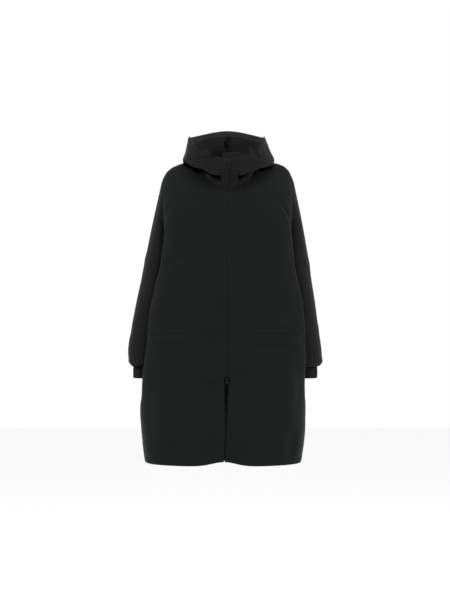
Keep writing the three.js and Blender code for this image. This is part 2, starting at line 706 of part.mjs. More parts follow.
// Tape along one edge of the open vent, showing a little beyond the edge.
const VENT_TAPE_WIDTH = 12;
function ventTape(side) {
  const grid = [];
  for (let step = 0; step <= 8; step++) {
    const z = lerp(ZIP_END - 1, HEM + 18, step / 8);
    const gap = ventEdge[1](z) - ventEdge[-1](z);
    const show = clamp(gap / 2 - 0.6, 0.4, 2.5);
    grid.push([show, show - VENT_TAPE_WIDTH].map((beyond) => {
      const turn = (beyond < 0 ? -beyond : 0) / body.half(z) / (Math.PI / 2);
      const point = bodyPoint(turn, z, side);
      point.x = ventEdge[side](z) - side * beyond;
      return between(point, bodyNormal(0, z, side).setX(0).normalize(), TAPE_FACE, TAPE_FACE - TAPE);
    }));
  }
  return wallGeometry(grid, false);
}

// Guard behind the top of the zip, standing above the hood's front rim.
const GUARD = { from: -16, to: 52, rise: 24, bottomStation: 11, wall: 2 };
function chinGuard() {
  const face = TAPE_FACE - TAPE - LAID - 0.2;
  const last = HOOD_STATIONS.length - 1;
  const columns = 6;
  const rows = [GUARD.rise, GUARD.rise / 2, 0, 16.5, 16, 15, 14, 13, 12, GUARD.bottomStation];
  const grid = rows.map((row, r) => {
    const corners = [];
    for (let c = 0; c <= columns; c++) {
      const share = c / columns;
      const x = lerp(GUARD.from, GUARD.to, share);
      const station = r < 3 ? last : row;
      const corner = (depth) => onHood(x, station, depth, false);
      const outer = corner(face);
      const inner = corner(face - GUARD.wall);
      if (r < 3) {
        const rounded = 1 - 0.2 * Math.abs(2 * share - 1) ** 4;
        const lift = row * rounded - (outer.z - corner(0).z);
        const level = onHood((GUARD.from + GUARD.to) / 2, last, face, false).z;
        const height = r === 2 ? 0 : level + lift - outer.z;
        outer.z += Math.max(height, row * 0.3);
        inner.z += Math.max(height, row * 0.3);
      }
      corners.push({ outer, inner });
    }
    return corners;
  });
  return wallGeometry(grid, false);
}

// Storm flap over the zip at the neck, on the outside.
const FLAP = { from: 11.5, to: 31, bottomStation: 3.4, wall: 2 };
function stormFlap() {
  const grid = stationsDown(16.6, FLAP.bottomStation).map((station) => {
    const row = Math.floor(station);
    const bend = lerp(hood[1][row][1].outer.x, hood[1][row + 1][1].outer.x, station - row);
    return [FLAP.from, clamp(bend, FLAP.from + 8, FLAP.to - 1), FLAP.to].map((x) => ({
      outer: onHood(x, station, LAID + FLAP.wall, false),
      inner: onHood(x, station, LAID, false),
    }));
  });
  return wallGeometry(grid, false);
}

// Pocket welts hang from the hip seam over the lower fronts.
const WELTS = [
  { name: "pocket_welt_right", side: -1, inner: 131, outer: 246, bottom: -573 },
  { name: "pocket_welt_left", side: 1, inner: 94, outer: 236, bottom: -583 },
];
const WELT_WALL = 2;
function pocketWelt({ side, inner, outer, bottom }) {
  const columns = 9;
  const start = bodyTurnAtX(inner, HIP);
  const end = bodyTurnAtX(outer, HIP);
  const grid = [0, 1 / 3, 2 / 3, 1].map((share) => {
    const corners = [];
    for (let c = 0; c <= columns; c++) {
      const turn = lerp(start, end, c / columns);
      const z = lerp(hipLine(turn) - SEAM, bottom, share);
      const normal = bodyNormal(turn, z, side);
      corners.push(between(bodyPoint(turn, z, side), normal, LAID + WELT_WALL, LAID));
    }
    return corners;
  });
  return wallGeometry(grid, false);
}

// Short ribbon loop sewn inside the hood's back seam.
const LOOP = { x: -10, endX: -1.6, station: 16.25, endStation: 15.8, halfWidth: 2.2, thick: 1.2 };
function hangerLoop() {
  const face = -(WALL + 2 * LAID);
  const grid = [0, 0.5, 1].map((share) => [-1, 1].map((across) => {
    const x = lerp(LOOP.x, LOOP.endX - LOOP.halfWidth, share) + across * LOOP.halfWidth;
    const station = lerp(LOOP.station, LOOP.endStation, share);
    return {
      outer: onHood(x, station, face, true),
      inner: onHood(x, station, face - LOOP.thick, true),
    };
  }));
  return wallGeometry(grid, false);
}

// Solids for joining and cutting
const block = (width, depth, height, x, y, z) =>
  Manifold.cube([width, depth, height], true).translate([x, y, z]);

function toGeometry(solid) {
  const mesh = solid.getMesh();
  const position = [];
  for (let i = 0; i < mesh.numVert; i++) {
    for (let k = 0; k < 3; k++) position.push(mesh.vertProperties[i * mesh.numProp + k]);
  }
  const geometry = new THREE.BufferGeometry();
  geometry.setAttribute("position", new THREE.Float32BufferAttribute(position, 3));
  geometry.setIndex(Array.from(mesh.triVerts));
  geometry.computeVertexNormals();
  return geometry;
}

// Sliders. y is the slider's back face and z its middle. The bridge runs up and down in front of
// the slider, and the pull's top bar lies behind it.
const SLIDER = { width: 9, depth: 3.4, height: 10, nose: 6 };
const BRIDGE = { width: 2.2, space: 2.4, bar: 1.2, height: 8.4 };
const PULL = { width: 6.6, thick: 1.4, bar: 1.3, windowWidth: 3.6, windowHeight: 6.2 };
const PIN_RISE = 1.6;
const SLIDERS = [
  { name: "top", x: 6, y: -128, z: -5, pullLength: 15 },
  { name: "bottom", x: -1.8, y: -151.9, z: -688.5, pullLength: 18 },
];
const pinOf = ({ x, y, z }) => vector(x, y - SLIDER.depth - BRIDGE.space / 2, z + PIN_RISE);

function sliderSolid(place) {
  const { x, y, z } = place;
  const half = SLIDER.width / 2;
  const nose = SLIDER.nose / 2;
  const top = SLIDER.height / 2;
  const shape = new THREE.Shape();
  shape.moveTo(-half, top);
  shape.lineTo(-half, top * 0.1);
  shape.lineTo(-nose, -top);
  shape.lineTo(nose, -top);
  shape.lineTo(half, top * 0.1);
  shape.lineTo(half, top);
  shape.closePath();
  const plate = new THREE.ExtrudeGeometry(shape, { depth: SLIDER.depth, bevelEnabled: false });
  plate.rotateX(Math.PI / 2);
  plate.translate(x, y, z);
  const reach = BRIDGE.space + BRIDGE.bar;
  const front = y - SLIDER.depth;
  const outer = block(BRIDGE.width, reach + 1, BRIDGE.height, x, front - reach / 2 + 0.5, z);
  const hollow = BRIDGE.height - 2 * BRIDGE.bar;
  const inner = block(BRIDGE.width + 1, BRIDGE.space, hollow, x, front - BRIDGE.space / 2, z);
  return toGeometry(solidOf(plate).add(outer.subtract(inner)));
}

function pullSolid(place) {
  const pin = pinOf(place);
  const low = place.pullLength - PULL.bar / 2;
  const middle = pin.z - (low - PULL.bar / 2) / 2;
  const plate = block(PULL.width, PULL.thick, place.pullLength, pin.x, pin.y, middle);
  const windowMiddle = pin.z - PULL.bar / 2 - PULL.windowHeight / 2;
  const hole = block(PULL.windowWidth, 4, PULL.windowHeight, pin.x, pin.y, windowMiddle);
  return toGeometry(plate.subtract(hole));
}

function solidOf(geometry) {
  const flat = geometry.index ? geometry.toNonIndexed() : geometry;
  const position = flat.getAttribute("position");
  const mesh = new Mesh({
    numProp: 3,
    vertProperties: Float32Array.from(position.array),
    triVerts: Uint32Array.from({ length: position.count }, (_, i) => i),
  });
  mesh.merge();
  return new Manifold(mesh);
}

// Snap button at the storm flap's lower end
const SNAP = { x: 20.5, station: 4.1, radius: 4.6, thick: 1.6 };
function snapDisc() {
  const foot = onHood(SNAP.x, SNAP.station, LAID + FLAP.wall + LAID + SNAP.thick / 2, false);
  const inside = onHood(SNAP.x, SNAP.station, 0, false);
  const disc = new THREE.CylinderGeometry(SNAP.radius * 0.82, SNAP.radius, SNAP.thick, 20);
  const away = foot.clone().sub(inside).normalize();
  disc.applyQuaternion(new THREE.Quaternion().setFromUnitVectors(vector(0, 1, 0), away));
  disc.translate(foot.x, foot.y, foot.z);
  return disc;
}

const cloth = { color: 0x202322, roughness: 0.82, metalness: 0 };
const rib = { color: 0x1d201f, roughness: 0.9, metalness: 0 };
const tape = { color: 0x0c0d0d, roughness: 0.75, metalness: 0 };
const metal = { color: 0x2c2e2e, roughness: 0.4, metalness: 0.8 };

const parka = new THREE.Group();
function add(name, geometry, finish) {
  const mesh = new THREE.Mesh(geometry, new THREE.MeshStandardMaterial(finish));
  mesh.name = name;
  parka.add(mesh);
  return mesh;
}

add("back", backPanel(), cloth);
for (const [name, side] of [["left", 1], ["right", -1]]) {
  add(`front_upper_${name}`, frontUpper(side), cloth);
  add(`front_lower_${name}`, frontLower(side), cloth);
  add(`sleeve_${name}`, sleeveTube(side), cloth);
  add(`cuff_${name}`, cuffBand(side), rib);
  add(`hood_${name}`, wallGeometry(hood[side], false), cloth);
  add(`vent_tape_${name}`, ventTape(side), tape);
}
add("zip_tape", zipTape(), tape);
add("chin_guard", chinGuard(), cloth);
add("storm_flap", stormFlap(), cloth);
add("hanger_loop", hangerLoop(), tape);
add("snap", snapDisc(), metal);
for (const welt of WELTS) add(welt.name, pocketWelt(welt), cloth);
for (const place of SLIDERS) {
  add(`slider_${place.name}`, sliderSolid(place), metal);
  add(`pull_${place.name}`, pullSolid(place), metal);
}

export default parka;
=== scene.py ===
import math
import bpy
import bmesh
import numpy as np
from mathutils import Matrix, Vector


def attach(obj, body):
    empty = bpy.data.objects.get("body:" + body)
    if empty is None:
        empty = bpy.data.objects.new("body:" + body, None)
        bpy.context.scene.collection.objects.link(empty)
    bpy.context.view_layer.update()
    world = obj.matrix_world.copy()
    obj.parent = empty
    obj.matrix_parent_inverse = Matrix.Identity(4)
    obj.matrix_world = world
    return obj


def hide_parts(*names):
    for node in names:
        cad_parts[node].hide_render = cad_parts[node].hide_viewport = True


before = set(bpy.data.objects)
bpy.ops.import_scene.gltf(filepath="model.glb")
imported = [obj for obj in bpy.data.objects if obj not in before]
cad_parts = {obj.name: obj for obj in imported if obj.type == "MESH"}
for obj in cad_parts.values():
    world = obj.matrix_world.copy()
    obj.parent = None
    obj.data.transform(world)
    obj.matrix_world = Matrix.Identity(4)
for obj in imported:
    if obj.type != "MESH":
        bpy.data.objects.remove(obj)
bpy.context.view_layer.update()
MM = 0.001

# The garment's form, in millimetres, from the same tables as its solids. WALL is the solids'
# cloth and CLOTH the cloth made here. The hem rises by HEM_RISE in front and at the sides.
WALL, CLOTH = 3, 2.6
HEM_RISE = (14, 5)
SEAM = 0.015
LAID = 0.4
ROUNDNESS = 2.5
NECK_TOP, NECK_FRONT, HIP, HIP_SAG, HEM = 12, -95.9, -545, 12, -965
SHOULDER_TIP, UNDERARM = -52, -265
ARMHOLE_HALF_DEPTH, CAP_END, SLEEVE_END, CUFF_END = 60, -300, -656, -692
CLOSURE_GAP, VENT_TOP, TAPE_HALF_WIDTH = 0.9, -682, 14

# z, half width, depth in front, depth behind, lean, closure, press and reach of the arm
BODY = [
    (12, 92, 18, 52, 1, 5, 0, 90), (7, 140, 27, 60, 3, 5, 0, 90), (0, 165, 36, 68, 6, 5, 0, 90),
    (-10, 185, 44, 77, 4, 5, 0, 90), (-24, 200, 56, 87, 2, 5, 0, 90),
    (-38, 207, 68, 94, 1, 5, 0, 90), (-52, 213, 79, 100, 1, 5, 0, 90),
    (-96, 221, 110, 113, 1, 2, 0, 90), (-158, 227, 133, 121, 1, -5, 12, 90),
    (-221, 232, 142, 122, 1, -6, 38, 90), (-265, 237, 146, 121, 1, -5, 62, 90),
    (-325, 243, 149, 119, 0, -2, 71, 90), (-385, 256, 151, 119, -1, 0, 72, 90),
    (-455, 271, 153, 124, -2, 3, 76, 88), (-545, 279, 154, 133, -4, 3, 75, 86),
    (-634, 280, 155, 140, -8, 0, 73, 80), (-692, 274, 155, 143, -12, -2, 47, 66),
    (-740, 270, 155, 145, -13, -4, 7, 56), (-800, 268, 155, 146, -14, -5, 0, 56),
    (-845, 267, 155, 146, -14, -5, 0, 56), (-895, 263, 153, 145, -14, -6, 0, 56),
    (-946, 256, 149, 142, -14, -12, 0, 56), (-970, 252, 147, 140, -14, -15, 0, 56),
]
NECKLINE = [(12, 92), (-8, 88), (-27, 83), (-48, 76), (-72, 53), (-84, 30), (-95.9, 0)]
# z, right and left front edge below the lower slider
VENT = [
    (-682, -10.4, 6.8), (-712, -10.4, 4.2), (-755, -10.2, 1.3), (-805, -8.6, -1),
    (-840, -7.5, -2.6), (-880, -8, -4.5), (-905, -9.5, -6), (-930, -11, -8), (-970, -12.5, -9.5),
]
# z, outer, inner, half depth, lean
SLEEVE = [
    (-265, 257, 178, 65, -1), (-320, 268, 180, 67, -2), (-385, 279, 188, 67, -4),
    (-450, 291, 197, 66, -6), (-520, 302, 206, 65, -8), (-572, 311, 212, 65, -9),
    (-612, 314.5, 214, 64, -8.5), (-634, 313.5, 216, 61, -7), (-647, 307.5, 221, 54, -6.5),
    (-656, 299.5, 237, 42.5, -7.5),
]
CUFF = {"outer": 299, "inner": 238, "half_depth": 42, "lean": -7.5}
# half, front, back, front z, side z, back z, roundness, lean, and the part taken in the roll that
# hangs over the stand: share of its fall, way out and way up
HOOD = [
    (89, 112, 53, -80, 20, 24, 2.2, 1, 0, 3, 0), (103, 117, 84, -64, 20, 18, 2.2, 1, 0, -4, 0),
    (130, 122, 122, -50, 19, -36, 2.3, 3, 0, -12, 10),
    (149, 126, 148, -40, 13, -110, 2.5, 4, 1, 6, 0),
    (149, 129, 186, -28, 22, -122, 2.5, 3, 0.45, 3, 0),
    (141, 128, 214, -12, 40, -62, 2.5, 2, 0, 0, 0), (132, 124, 216, 2, 65, 30, 2.5, 0, 0, 0, 0),
    (123, 118, 190, 12, 93, 131, 2.7, -3, 0, 0, 0),
]
# How far the roll falls at turns round the hood, on the right and on the left
ROLL = {
    -1: [(0.11, 0), (0.17, 6), (0.26, 6), (0.36, -7), (0.55, -9), (0.8, -7), (1, 0)],
    1: [(0.125, 0), (0.17, 7), (0.3, 1), (0.48, -6), (0.75, 0), (1, 0)],
}
NECK_DEPTH = {"front": 110, "back": 52, "half": 92}
FRONT_FLAT, BACK_PEAK = 0.7, 1.1
HOOD_STATIONS = [0, .35, .7, 1, 1.5, 2, 2.6, 3, 3.35, 3.7, 4, 4.5, 5, 5.6, 6.3, 7.1, 7.6, 8]
SHOULDER_ROWS = [12, 5, -3, -12, -24, -38]
ARMHOLE_MIDDLE = (SHOULDER_TIP + UNDERARM) / 2
ARMHOLE_HALF_HEIGHT = (SHOULDER_TIP - UNDERARM) / 2


def hermite(start, start_slope, end, end_slope, t):
    a = 2 * t ** 3 - 3 * t ** 2 + 1
    leave, arrive = t ** 3 - 2 * t ** 2 + t, t ** 3 - t ** 2
    return a * start + leave * start_slope + (1 - a) * end + arrive * end_slope


def curve_through(rows, column):
    x, y = np.array(sorted((row[0], row[column]) for row in rows), float).T
    rise = np.diff(y) / np.diff(x)
    both = rise[:-1] * rise[1:]
    total = np.where(both > 0, rise[:-1] + rise[1:], 1)
    slope = np.concatenate([[rise[0]], np.where(both > 0, 2 * both / total, 0), [rise[-1]]])

    def at(value):
        v = np.clip(value, x[0], x[-1])
        i = np.clip(np.searchsorted(x, v, side="right") - 1, 0, len(x) - 2)
        span = x[i + 1] - x[i]
        return hermite(y[i], slope[i] * span, y[i + 1], slope[i + 1] * span, (v - x[i]) / span)

    return at


def smooth_step(low, high, value):
    t = np.clip((np.asarray(value, float) - low) / (high - low), 0, 1)
    return t * t * (3 - 2 * t)


def bell(distance, width):
    """1 in the middle of a soft hump and near 0 two widths away."""
    return np.exp(-((distance / width) ** 2))


def lerp(a, b, t):
    return a + (b - a) * t


def unit(v):
    return v / np.maximum(np.linalg.norm(v, axis=-1, keepdims=True), 1e-9)


def point(x, y, z):
    return np.stack(np.broadcast_arrays(x, y, z), -1).astype(float)


body_half, body_front, body_back, body_lean, body_closure, body_press, body_reach = (
    curve_through(BODY, column) for column in range(1, 8)
)
neckline_half = curve_through(NECKLINE, 1)
vent_edge = {-1: curve_through(VENT, 1), 1: curve_through(VENT, 2)}
sleeve_outer, sleeve_inner, sleeve_half_depth, sleeve_lean = (
    curve_through(SLEEVE, column) for column in range(1, 5)
)
roll_fall = {side: curve_through(rows, 1) for side, rows in ROLL.items()}


def unit_section(turn, roundness):
    across, ahead = np.sin(turn * math.pi / 2), np.cos(turn * math.pi / 2)
    reach = (np.abs(across) ** roundness + np.abs(ahead) ** roundness) ** (-1 / roundness)
    return across * reach, ahead * reach


def turn_at(across, ahead):
    return np.arctan2(across, ahead) / (math.pi / 2)


def other_share(share, roundness):
    return (1 - np.clip(share, 0, 1) ** roundness) ** (1 / roundness)


def body_point(turn, z, side):
    across, ahead = unit_section(turn, ROUNDNESS)
    y = np.where(ahead > 0, -body_front(z) * ahead, -body_back(z) * ahead)
    share = np.abs(y) / body_reach(z)
    push = np.where(share < 1, (1 - share ** 4) ** 2, 0)
    reach = body_half(z) * across - body_press(z) * push * across
    lean = body_lean(z)
    edge = np.where(z > VENT_TOP, body_closure(z) + side * CLOSURE_GAP / 2, vent_edge[side](z))
    drift = np.where(turn < 1, (1 - turn) ** 3 * (edge - lean), 0)
    return point(side * reach + lean + drift, y, z)


def normal_of(surface, u, v, side, step=1e-3):
    along = surface(u + step, v) - surface(u - step, v)
    down = surface(u, v + step) - surface(u, v - step)
    return unit(np.cross(along, down)) * side


def body_normal(turn, z, side):
    tall = 200
    return normal_of(lambda u, v: body_point(u, v * tall, side), turn, z / tall, side)


def body_turn_at_y(y, z):
    ahead = np.abs(y) / np.where(y < 0, body_front(z), body_back(z))
    turn = turn_at(other_share(ahead, ROUNDNESS), ahead)
    return np.where(y < 0, turn, 2 - turn)


def body_turn_at_x(x, z):
    across = x / body_half(z)
    return turn_at(across, other_share(across, ROUNDNESS))


def armhole_place(angle, size):
    y = -ARMHOLE_HALF_DEPTH * size * np.sin(angle)
    z = ARMHOLE_MIDDLE + ARMHOLE_HALF_HEIGHT * size * np.cos(angle)
    return body_turn_at_y(y, z), z


def armhole_point(angle, size, side):
    return body_point(*armhole_place(angle, size), side)


def hip_line(turn):
    return HIP - HIP_SAG * np.minimum(turn, 1) ** 2


def hem_line(turn):
    front, sides = HEM_RISE
    return HEM + front * bell(turn, 0.13) + sides * np.minimum(turn, 1) ** 4


def side_edge(z, back):
    in_armhole = (z < SHOULDER_TIP) & (z > UNDERARM)
    share = np.clip((z - ARMHOLE_MIDDLE) / ARMHOLE_HALF_HEIGHT, -1, 1)
    y = ARMHOLE_HALF_DEPTH * np.sqrt(1 - share ** 2)
    speed = np.linalg.norm(body_point(1.0, z, 1) - body_point(0.99, z, 1), axis=-1) / 0.01
    seam = SEAM / 2 / speed
    if back:
        return np.maximum(np.where(in_armhole, body_turn_at_y(y, z), 1), 1 + seam)
    return np.minimum(np.where(in_armhole, body_turn_at_y(-y, z), 1), 1 - seam)


def middle_edge(z):
    return np.where(z > NECK_FRONT, body_turn_at_x(neckline_half(z), z), 0)


# Relief of the cloth: soft folds along given paths, seams that sink and pucker
def from_line(across, up, path):
    """Distance to a path, how far along it the nearest place lies, from 0 to 1, and the side."""
    path = np.array(path, float)
    lengths = np.linalg.norm(np.diff(path, axis=0), axis=1)
    best = np.full(np.shape(across), 1e9)
    place = np.zeros(np.shape(across))
    sign = np.zeros(np.shape(across))
    done = 0.0
    for (x0, z0), (x1, z1), length in zip(path[:-1], path[1:], lengths):
        dx, dz = (x1 - x0) / length, (z1 - z0) / length
        t = np.clip((across - x0) * dx + (up - z0) * dz, 0, length)
        off_x, off_z = across - x0 - t * dx, up - z0 - t * dz
        gap = np.hypot(off_x, off_z)
        nearer = gap < best
        best = np.where(nearer, gap, best)
        place = np.where(nearer, (done + t) / lengths.sum(), place)
        sign = np.where(nearer, np.sign(off_x * dz - off_z * dx), sign)
        done += length
    return best, place, sign


def folds(across, up, table):
    """Sum of soft folds. Each is a path, a width, a height that is negative for a trough, and
    how much of a lip it has on its right-hand side."""
    relief = np.zeros(np.shape(across))
    for path, width, height, lip in table:
        gap, place, sign = from_line(across, up, path)
        ends = np.sin(np.clip(place, 0.02, 0.98) * math.pi) ** 0.6
        outside = smooth_step(2.2, 0.6, gap / width)
        relief += height * ends * bell(gap, width) * outside
        relief -= height * lip * ends * bell(gap * sign - 1.5 * width, width)
    return relief


def swell(across, up, scale, seed):
    """Slow uneven rise and fall of lightly wadded cloth, from -1 to 1."""
    a, b = across / scale + seed * 1.7, up / scale - seed * 2.3
    waves = np.sin(a * 2.1 + 1.3 * np.sin(b * 1.1)) * np.sin(b * 1.7 + 0.9 * np.sin(a * 0.8))
    return 0.6 * waves + 0.4 * np.sin(a * 0.9 - b * 1.3 + seed) * np.sin(a * 1.9 + b * 2.9)


def puckers(along, gap, reach, seed):
    """Short uneven creases that leave a seam, from -1 to 1."""
    wave = np.sin(along / 5.3 + 1.7 * np.sin(along / 19 + seed))
    wave = wave + 0.6 * np.sin(along / 3.1 + seed * 2)
    strength = 0.55 + 0.45 * np.sin(along / 37 + seed * 3)
    return wave * strength * np.exp(-gap / reach) * smooth_step(0, 3, gap)


def ditch(gap, depth, width):
    return -depth * bell(gap, width)


# Meshes
def add_object(name, data):
    obj = bpy.data.objects.new(name, data)
    bpy.context.scene.collection.objects.link(obj)
    return obj


def smooth_object(name, mesh, crease=None):
    mesh.polygons.foreach_set("use_smooth", [True] * len(mesh.polygons))
    if crease:
        mesh.set_sharp_from_angle(angle=math.radians(crease))
    return add_object(name, mesh)


def mesh_from(name, work):
    mesh = bpy.data.meshes.new(name)
    work.to_mesh(mesh)
    work.free()
    return mesh


def add_cloth(name, vertices, faces, uv, painted_shade):
    mesh = bpy.data.meshes.new(name)
    mesh.from_pydata((vertices * MM).tolist(), [], faces)
    layer = mesh.uv_layers.new(name="cloth")
    corner = np.empty(len(mesh.loops), np.int32)
    mesh.loops.foreach_get("vertex_index", corner)
    layer.data.foreach_set("uv", (uv * MM)[corner].ravel())
    # Painted shade per point, which the cloth's finish mixes towards black
    if painted_shade is not None:
        mesh.attributes.new("painted_shade", "FLOAT", "POINT").data.foreach_set("value", painted_shade.ravel())
    mesh.validate()
    mesh.update()
    return smooth_object(name, mesh)


def volume(vertices, faces):
    f = np.array(faces)
    a, b, c, d = (vertices[f[:, k]] for k in range(4))
    return float((a * np.cross(b, c)).sum() + (a * np.cross(c, d)).sum())


def arc_lengths(grid, axis):
    step = np.linalg.norm(np.diff(grid, axis=axis), axis=-1)
    start = np.zeros_like(np.take(step, [0], axis=axis))
    return np.concatenate([start, np.cumsum(step, axis=axis)], axis=axis)


def shell(name, outer, inner, ring=False, painted_shade=None):
    """A closed wall of cloth from two grids of points. painted_shade marks its painted shade, where
    light hardly reaches.
    """
    rows, columns = outer.shape[:2]
    count = rows * columns
    number = np.arange(count).reshape(rows, columns)
    if ring:
        number = np.concatenate([number, number[:, :1]], axis=1)
    a, b, c, d = number[:-1, :-1], number[1:, :-1], number[1:, 1:], number[:-1, 1:]
    faces = np.stack([a, b, c, d], -1).reshape(-1, 4).tolist()
    faces += (np.stack([d, c, b, a], -1).reshape(-1, 4) + count).tolist()

    def rim(line, flip):
        p, q = line[:-1], line[1:]
        quad = np.stack([p, p + count, q + count, q] if flip else [q, q + count, p + count, p], -1)
        return quad.reshape(-1, 4).tolist()

    faces += rim(number[0], False) + rim(number[-1], True)
    if not ring:
        faces += rim(number[:, 0], True) + rim(number[:, -1], False)
    vertices = np.concatenate([outer.reshape(-1, 3), inner.reshape(-1, 3)])
    if volume(vertices, faces) < 0:
        faces = [face[::-1] for face in faces]
    across = arc_lengths(outer, 1)
    down = arc_lengths(outer, 0)
    across = across - across[:, columns // 2: columns // 2 + 1]
    uv = np.stack([across, down], -1).reshape(-1, 2)
    return add_cloth(name, vertices, faces, np.concatenate([uv, uv]), painted_shade)


def cloth_wall(surface, normals, relief):
    outer = surface + normals * relief[..., None]
    inner = surface + normals * (0.75 * relief - CLOTH)[..., None]
    return outer, inner


def edge_gaps(surface):
    """Distances of a panel's points from its top, bottom, first and last edge."""
    down = arc_lengths(surface, 0)
    across = arc_lengths(surface, 1)
    return down, down[-1:] - down, across, across[:, -1:] - across


def finer(values, parts):
    """Each gap of a list cut in equal parts."""
    values = np.array(values, float)
    out = [values[:1]]
    for a, b in zip(values[:-1], values[1:]):
        out.append(np.linspace(a, b, parts + 1)[1:])
    return np.concatenate(out)


# Body panels
BEND_FROM = CAP_END
FRONT_COLUMNS, BACK_COLUMNS, SKIRT_ROWS = 66, 58, 86
armhole_rows = ARMHOLE_MIDDLE + ARMHOLE_HALF_HEIGHT * np.cos(np.linspace(0, math.pi, 41))
upper_rows = np.concatenate([
    finer(SHOULDER_ROWS + [SHOULDER_TIP], 4)[:-1], armhole_rows, [NECK_FRONT],
    np.linspace(UNDERARM, HIP, 60)[1:],
])
near_neck = np.abs(upper_rows - NECK_FRONT) < 1.2
upper_rows = np.unique(np.where(near_neck, NECK_FRONT, upper_rows))[::-1]


def upper_height(row, turn):
    """Rows are level down to BEND_FROM and take up the hip line's sag from there."""
    share = np.clip((row - BEND_FROM) / (HIP - BEND_FROM), 0, 1)
    return row + (hip_line(turn) - HIP) * share


def column_shares(columns):
    """Closer together towards both edges, where seams are."""
    t = np.linspace(0, 1, columns)
    return t - 0.1 * np.sin(2 * math.pi * t) / math.pi


# Soft creases: path in x and z, width, height, lip. The first lists follow what shows in front.
FRONT_LEFT_FOLDS = [
    ([(168, -124), (186, -152), (203, -188)], 6, -3.4, 0.5),
    ([(150, -108), (170, -132)], 12, -1.6, 0.2),
    ([(196, -205), (190, -260), (176, -310)], 16, 2.2, 0.3),
    ([(120, -300), (160, -330), (215, -345)], 20, -1.8, 0.4),
    ([(40, -220), (80, -250), (140, -262)], 26, 1.6, 0.3),
    ([(60, -420), (120, -400), (190, -410)], 24, -1.7, 0.3),
    ([(20, -330), (32, -400), (28, -470)], 18, 1.5, 0.4),
    ([(150, -470), (190, -500), (225, -512)], 14, -2.0, 0.5),
    ([(90, -500), (140, -515), (200, -530)], 13, 1.8, 0.2),
]
FRONT_RIGHT_FOLDS = [
    ([(-190, -190), (-180, -240), (-160, -290)], 18, 2.4, 0.3),
    ([(-172, -118), (-190, -150), (-200, -180)], 9, -2.0, 0.5),
    ([(-110, -290), (-165, -322), (-220, -330)], 18, -2.2, 0.4),
    ([(-40, -200), (-70, -240), (-120, -256)], 24, 1.5, 0.3),
    ([(-30, -380), (-90, -372), (-160, -392)], 26, -1.6, 0.3),
    ([(-22, -300), (-30, -360), (-20, -440)], 16, 1.7, 0.4),
    ([(-200, -400), (-222, -440), (-232, -490)], 14, 2.2, 0.3),
    ([(-60, -480), (-120, -505), (-190, -508)], 16, -1.9, 0.4),
    ([(-110, -520), (-170, -532), (-230, -538)], 10, 1.7, 0.3),
]
SKIRT_LEFT_FOLDS = [
    ([(14, -640), (22, -700), (18, -780)], 14, 2.2, 0.3),
    ([(60, -600), (74, -690), (66, -800)], 26, -1.7, 0.4),
    ([(150, -620), (172, -720), (180, -830)], 30, 2.4, 0.3),
    ([(222, -640), (232, -720), (222, -820)], 18, -3.2, 0.4),
    ([(210, -850), (200, -905), (206, -960)], 16, -2.8, 0.5),
    ([(238, -830), (228, -900), (220, -950)], 14, 3.0, 0.2),
    ([(120, -830), (128, -890), (120, -950)], 26, -2.2, 0.3),
    ([(30, -860), (44, -910), (40, -955)], 22, 1.8, 0.3),
]
SKIRT_RIGHT_FOLDS = [
    ([(-12, -684), (-40, -698), (-72, -708)], 6, -3.0, 0.5),
    ([(-14, -672), (-46, -676), (-84, -664)], 13, 2.0, 0.2),
    ([(-30, -720), (-26, -800), (-34, -870)], 18, 2.0, 0.3),
    ([(-84, -600), (-96, -700), (-90, -820)], 28, -1.8, 0.4),
    ([(-170, -610), (-190, -720), (-196, -840)], 28, 2.5, 0.3),
    ([(-240, -690), (-252, -790), (-246, -880)], 20, -3.0, 0.4),
    ([(-262, -820), (-258, -890), (-250, -950)], 14, 2.6, 0.3),
    ([(-150, -840), (-160, -900), (-150, -958)], 24, -2.4, 0.3),
    ([(-60, -880), (-74, -920), (-70, -962)], 18, 1.8, 0.3),
]
BACK_FOLDS = [
    ([(-176, -120), (-150, -190), (-120, -240)], 16, -3.0, 0.4),
    ([(180, -112), (156, -176), (112, -250)], 18, -3.2, 0.4),
    ([(-60, -60), (0, -84), (66, -58)], 20, 2.2, 0.3),
    ([(-120, -300), (-30, -322), (90, -300)], 26, -2.0, 0.3),
    ([(-30, -160), (-20, -260), (-34, -380)], 30, 2.2, 0.2),
    ([(190, -280), (150, -330), (80, -360)], 16, -2.8, 0.5),
    ([(-200, -270), (-160, -330), (-96, -372)], 15, -2.9, 0.5),
    ([(60, -400), (84, -520), (70, -640)], 32, 2.4, 0.3),
    ([(-90, -420), (-110, -560), (-96, -700)], 34, -2.4, 0.3),
    ([(170, -470), (196, -600), (190, -740)], 26, -3.0, 0.4),
    ([(-190, -500), (-216, -640), (-206, -790)], 26, 3.0, 0.3),
    ([(0, -560), (12, -700), (-6, -880)], 36, -2.4, 0.3),
    ([(130, -640), (140, -780), (126, -930)], 28, 2.8, 0.3),
    ([(-150, -720), (-158, -840), (-140, -960)], 24, -3.0, 0.4),
    ([(-56, -760), (-66, -860), (-60, -962)], 26, 2.6, 0.3),
    ([(222, -760), (230, -860), (218, -958)], 18, -3.0, 0.4),
    ([(60, -820), (70, -900), (62, -962)], 22, -2.2, 0.3),
]
# Depth and width of the ditches along a side seam, a front edge, the hem and its stitching
SIDE_DITCH, EDGE_DITCH, HEM_DITCH, STITCH_DITCH = (1.3, 3.2), (0.5, 1.6), (0.8, 2.0), (0.6, 2.0)
HEM_STITCH, EDGE_STITCH = 26, 8
HIP_DEPTH = 0.5
# Side, first and last x at its side of the middle, and lower edge
WELTS = {"pocket_welt_right": (-1, 131, 246, -573), "pocket_welt_left": (1, 94, 236, -583)}
WELT_FROM = {side: first for side, first, _, _ in WELTS.values()}


def hip_depth(x, side):
    """The hip seam's ditch, shallower where a pocket's welt is sewn into it."""
    first = WELT_FROM[side]
    return HIP_DEPTH * (1 - 0.75 * smooth_step(first - 10, first + 14, x * side))


